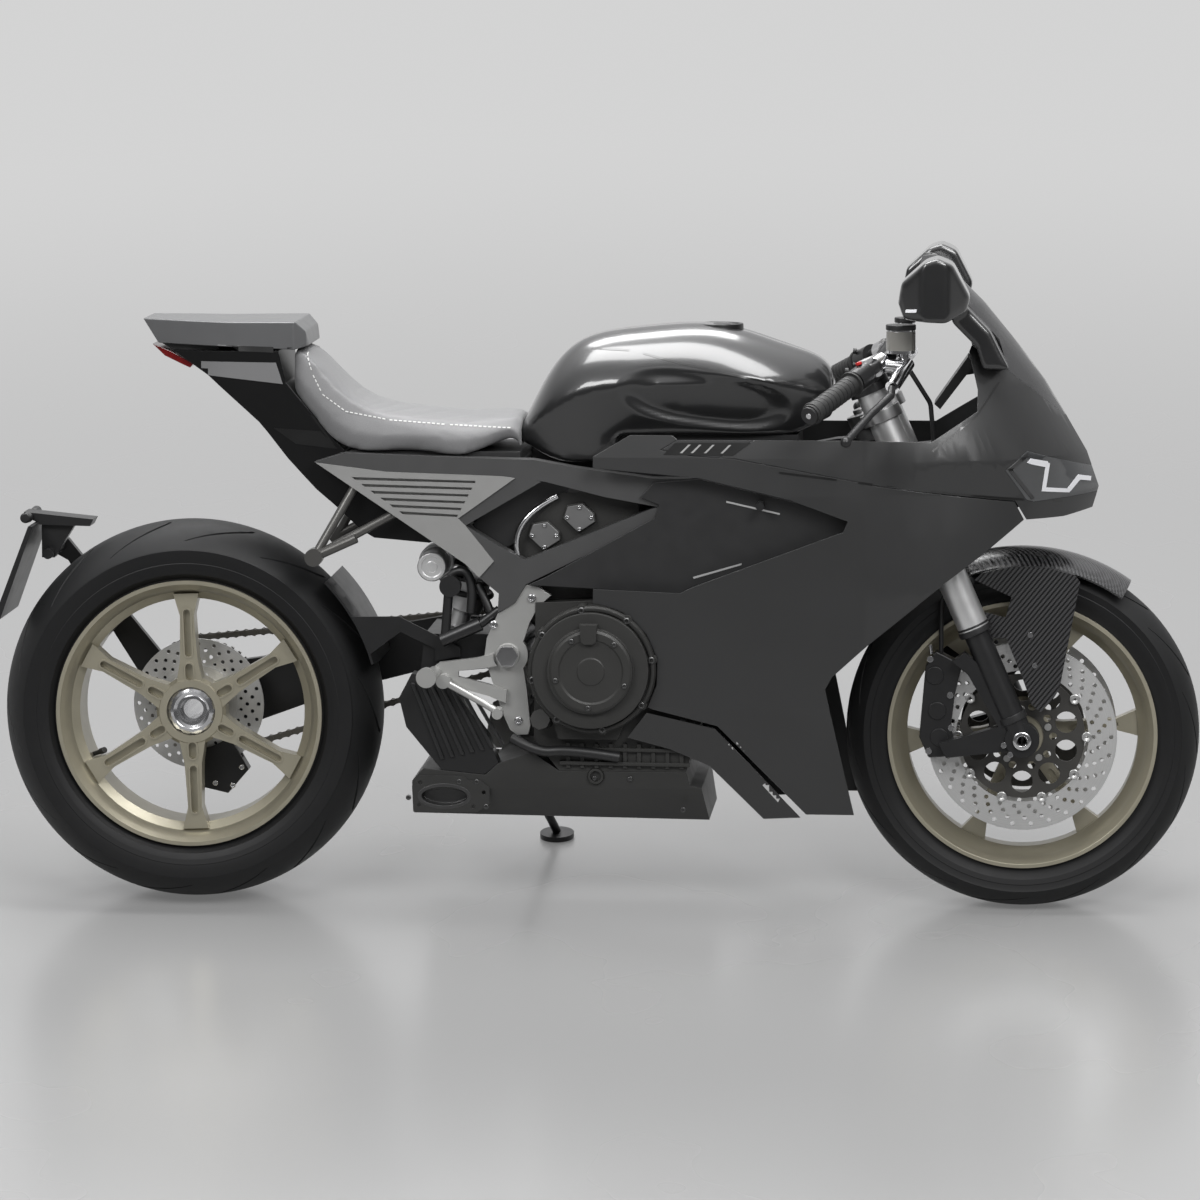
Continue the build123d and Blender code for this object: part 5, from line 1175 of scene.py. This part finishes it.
PANEL_SLITS = [[(868, 574), (948, 598), (948, 601), (866, 577)],
               [(922, 703), (1012, 683), (1012, 686), (922, 706)]]
both_sides("panel_slits", PANEL_SLITS, FAIRING_SKIN, satin_silver, 1.6)
MIRROR_LAMP = [(1222, 1031), (1240, 1031), (1241, 1036), (1223, 1036)]
mirror_lamps = [slab("mirror_lamp", MIRROR_LAMP, *faces) for faces in ((-259, -256.5), (256.5, 259))]
white_guide = Finish("white_light_guide", (0.6, 0.6, 0.62), 0.35, 0.0, Emission_Strength=0.1)
guide_glow = white_guide.mixed(white_guide.noise(60.0), (0.75, 0.76, 0.8), (0.9, 0.91, 0.94))
white_guide.feed("Emission Color", guide_glow)
settled(joined("mirror_lamps", mirror_lamps), white_guide, "chassis")

# ---------------------------------------------------------------- lamp and screen
# A slim faceted clear lens with two angular white light guides behind it, under a smoked screen.
lens = Finish("clear_lens", (0.5, 0.52, 0.55), 0.06, 0.0, Coat_Weight=0.6)
lens.feed("Roughness", lens.noise(20.0) * 0.05 + 0.04)
lens.feed("Base Color", lens.mixed(lens.noise(9.0), (0.02, 0.021, 0.022), (0.07, 0.072, 0.075)))
refined("headlight", lens, 1.0)
GUIDES = [[(1424, 772), (1430, 779), (1458, 772), (1461, 765), (1456, 762), (1431, 769)],
          [(1456, 771), (1462, 768), (1456, 728), (1449, 722)],
          [(1449, 722), (1456, 728), (1492, 723), (1510, 744), (1532, 738), (1531, 731), (1513, 735),
           (1495, 716)]]
both_sides("light_guides", GUIDES, ("headlight",), white_guide, 2.0, 8)
LENS_EDGE = [[(1392, 763), (1424, 788), (1427, 783), (1400, 762)],
             [(1392, 763), (1400, 762), (1437, 712), (1432, 709)]]
both_sides("lens_edge", LENS_EDGE, ("headlight",), charcoal_gloss, 2.2, 8)
smoke = Finish("smoked_screen", (0.012, 0.012, 0.013), 0.05, 0.0, Coat_Weight=1.0, Alpha=0.86)
smoke.feed("Base Color", smoke.mixed(smoke.noise(3.0), (0.008, 0.008, 0.009), (0.018, 0.018, 0.019)))
smoke.feed("Roughness", smoke.noise(30.0) * 0.03 + 0.05)
refined("windscreen", smoke, 0.8)

# ---------------------------------------------------------------- tank
# Pressed steel in deep glossy charcoal: round shoulders, a shallow hollow facet in each side, a seam round
# it and a flush black cap on top.
TANK_VOXEL = 0.006
FACET_MIDDLE = (884, 874)
FACET_HALF = (150, 50)
FACET_SLOPE = 0.13
FACET_DEPTH = 0.009
FACET_FROM_Y = 0.06
tank = softened(remeshed("fuel_tank", TANK_VOXEL), 5)
for vertex in tank.data.vertices:
    along = vertex.co.x / MM - FACET_MIDDLE[0]
    up = vertex.co.z / MM - FACET_MIDDLE[1] + FACET_SLOPE * along
    inside = 1 - abs(along / FACET_HALF[0]) ** 3 - (up / FACET_HALF[1]) ** 2
    if inside > 0 and abs(vertex.co.y) > FACET_FROM_Y:
        share = min(1.0, inside * 1.5)
        vertex.co.y -= math.copysign(FACET_DEPTH * share * share * (3 - 2 * share), vertex.co.y)
softened(tank, 2)
TANK_SEAMS = [[(690, 954), (760, 952), (836, 934), (1000, 900), (1062, 906), (1062, 909), (1000, 903),
               (836, 937), (760, 955), (690, 957)], [(671, 762), (738, 812), (740, 809), (674, 759)]]
tank_seams = joined("tank_seams", [laid_on("tank_seam", TANK_SEAMS, tank, side, 0.8) for side in (-1, 1)])
settled(tank_seams, deep_black, "chassis")
TANK_CAP = [(0.4, 0.4), (30, 0.4), (30, 20), (28, 22), (28, 34), (30.5, 36), (30.5, 42), (0.4, 44)]
tank_cap = turned("tank_cap", TANK_CAP, 0, 0, 64)
tank_cap.data.transform(Matrix.Translation(at(900, 0, 962)) @ Matrix.Rotation(math.pi / 2, 4, "X"))
settled(rounded(tank_cap, 0.8), satin_black, "chassis")
stands_for(tank, "fuel_tank", charcoal_gloss)

# ---------------------------------------------------------------- tail
# A satin grey hump over a black gap, and below it a black tail in layered panels with a grey wedge, two fine
# seams and a slim red lamp at its tip.
tail_grey = worn_finish("tail_grey", (0.12, 0.121, 0.124), 0.36, 0.4, 0.06, 900.0, 0.00002, Coat_Weight=0.2)
refined("tail_top", tail_grey, 5.0, 24, 3)
refined("tail_inset", black_plastic, 1.0)
tail_black = body_paint("tail_black", (0.005, 0.005, 0.0052), 0.3, 0.15)
tail_black.shader.inputs["Specular IOR Level"].default_value = 0.25
refined("tail_body", tail_black, 4.0, 24, 3)
side_grey = worn_finish("tail_side_grey", (0.2, 0.2, 0.203), 0.3, 0.2, 0.06, 900.0, 0.00002, Coat_Weight=0.4)
TAIL_SKIN = ("tail_body", "tail_inset", "tail_top")
TAIL_WEDGE = [(-22, 947), (34, 906), (168, 893), (152, 942)]
TAIL_GAP = [(-40, 960), (-29, 951), (152, 946), (186, 955)]
TAIL_BAND = [(152, 818), (232, 814), (262, 784), (190, 792)]
TAIL_SEAM = [(176, 893), (180, 893), (256, 792), (252, 792)]
both_sides("tail_wedges", [TAIL_WEDGE], TAIL_SKIN, side_grey, 1.6)
both_sides("tail_gaps", [TAIL_GAP], TAIL_SKIN, deep_black, 1.2)
both_sides("tail_bands", [TAIL_BAND], TAIL_SKIN, deep_black, 1.6)
both_sides("tail_seams", [TAIL_SEAM], TAIL_SKIN, deep_black, 0.8)
red_lens = Finish("red_lens", (0.12, 0.004, 0.004), 0.15, 0.0, Coat_Weight=0.6)
red_lens.feed("Base Color", red_lens.mixed(red_lens.noise(120.0), (0.07, 0.003, 0.003), (0.2, 0.006, 0.006)))
refined("tail_lamp", red_lens, 1.0)

# ---------------------------------------------------------------- seat
# A one-piece cushion in mid-grey leather on a moulded pan. A short cloth simulation under pressure lets it
# swell a little between its edges, and a pale contrast stitch runs along each shoulder.
refined("seat_pan", black_plastic, 1.0)
leather = Finish("seat_leather", (0.13, 0.13, 0.132), 0.5, 0.0, Sheen_Weight=0.15)
cells = leather.node("TexVoronoi", {"feature": "SMOOTH_F1"}, {"Vector": leather.place, "Scale": 620.0})
hide = leather.noise(8.0, 4.0) * 0.7 + cells * 0.5
leather.feed("Base Color", leather.mixed(hide, (0.1, 0.1, 0.102), (0.16, 0.16, 0.163)))
leather.feed("Roughness", cells * 0.2 + 0.4)
leather.bump(cells * 0.7 + leather.noise(90.0) * 0.3, 0.5, 0.0003)
SWELL_STEPS = 8
SWELL_PRESSURE = 1.5
SWELL_LIMIT = 0.004
cushion = remeshed("seat", 0.005)
softened(cushion, 2)
swelling = cushion.modifiers.new("swell", "CLOTH")
swelling.settings.use_pressure = True
swelling.settings.uniform_pressure_force = SWELL_PRESSURE
swelling.settings.effector_weights.gravity = 0
before = [vertex.co.copy() for vertex in cushion.data.vertices]
for step in range(1, SWELL_STEPS + 1):
    bpy.context.scene.frame_set(step)
bpy.ops.object.modifier_apply(modifier="swell")
bpy.context.scene.frame_set(1)
for vertex, rest in zip(cushion.data.vertices, before):
    moved = vertex.co - rest
    if moved.length > SWELL_LIMIT:
        vertex.co = rest + moved.normalized() * SWELL_LIMIT
softened(cushion, 2)
SEAM = [(206, 944), (219, 908), (236, 876), (276, 848), (351, 834), (453, 826), (560, 820)]
STITCH_GAP = 8.0
STITCH_LONG = 5.0
STITCH_WIDE = 1.7
stitches = []
for (x1, z1), (x2, z2) in zip(SEAM, SEAM[1:]):
    length = math.hypot(x2 - x1, z2 - z1)
    dx = (x2 - x1) / length
    dz = (z2 - z1) / length
    for k in range(int(length / STITCH_GAP)):
        x = x1 + dx * k * STITCH_GAP
        z = z1 + dz * k * STITCH_GAP
        end_x = x + dx * STITCH_LONG
        end_z = z + dz * STITCH_LONG
        wide_x = -dz * STITCH_WIDE
        wide_z = dx * STITCH_WIDE
        stitches.append([(x, z), (end_x, end_z), (end_x + wide_x, end_z + wide_z), (x + wide_x, z + wide_z)])
thread = worn_finish("pale_thread", (0.55, 0.55, 0.54), 0.7, 0.0, 0.1, 2000.0, 0.0001)
stitch_rows = [laid_on("stitches", stitches, cushion, side, 1.6, 500) for side in (-1, 1)]
seat_stitches = joined("seat_stitches", stitch_rows)
settled(seat_stitches, thread, "chassis")
stands_for(cushion, "seat", leather)

# ---------------------------------------------------------------- rider's controls and stand
# Machined footrest hangers with knurled pegs, a brake pedal and a gear lever, the rear brake's master
# cylinder, silver passenger brackets and the forged side stand.
refined("footrests", machined, 2.0)
refined("foot_controls", machined, 1.5)
gunmetal = worn_finish("gunmetal", (0.09, 0.088, 0.084), 0.36, 0.6, 0.12, 900.0, 0.00004)
refined("passenger_peg_brackets", gunmetal, 1.5)
refined("rear_master_cylinder", satin_black, 1.5)
refined("side_stand", satin_black, 2.0)
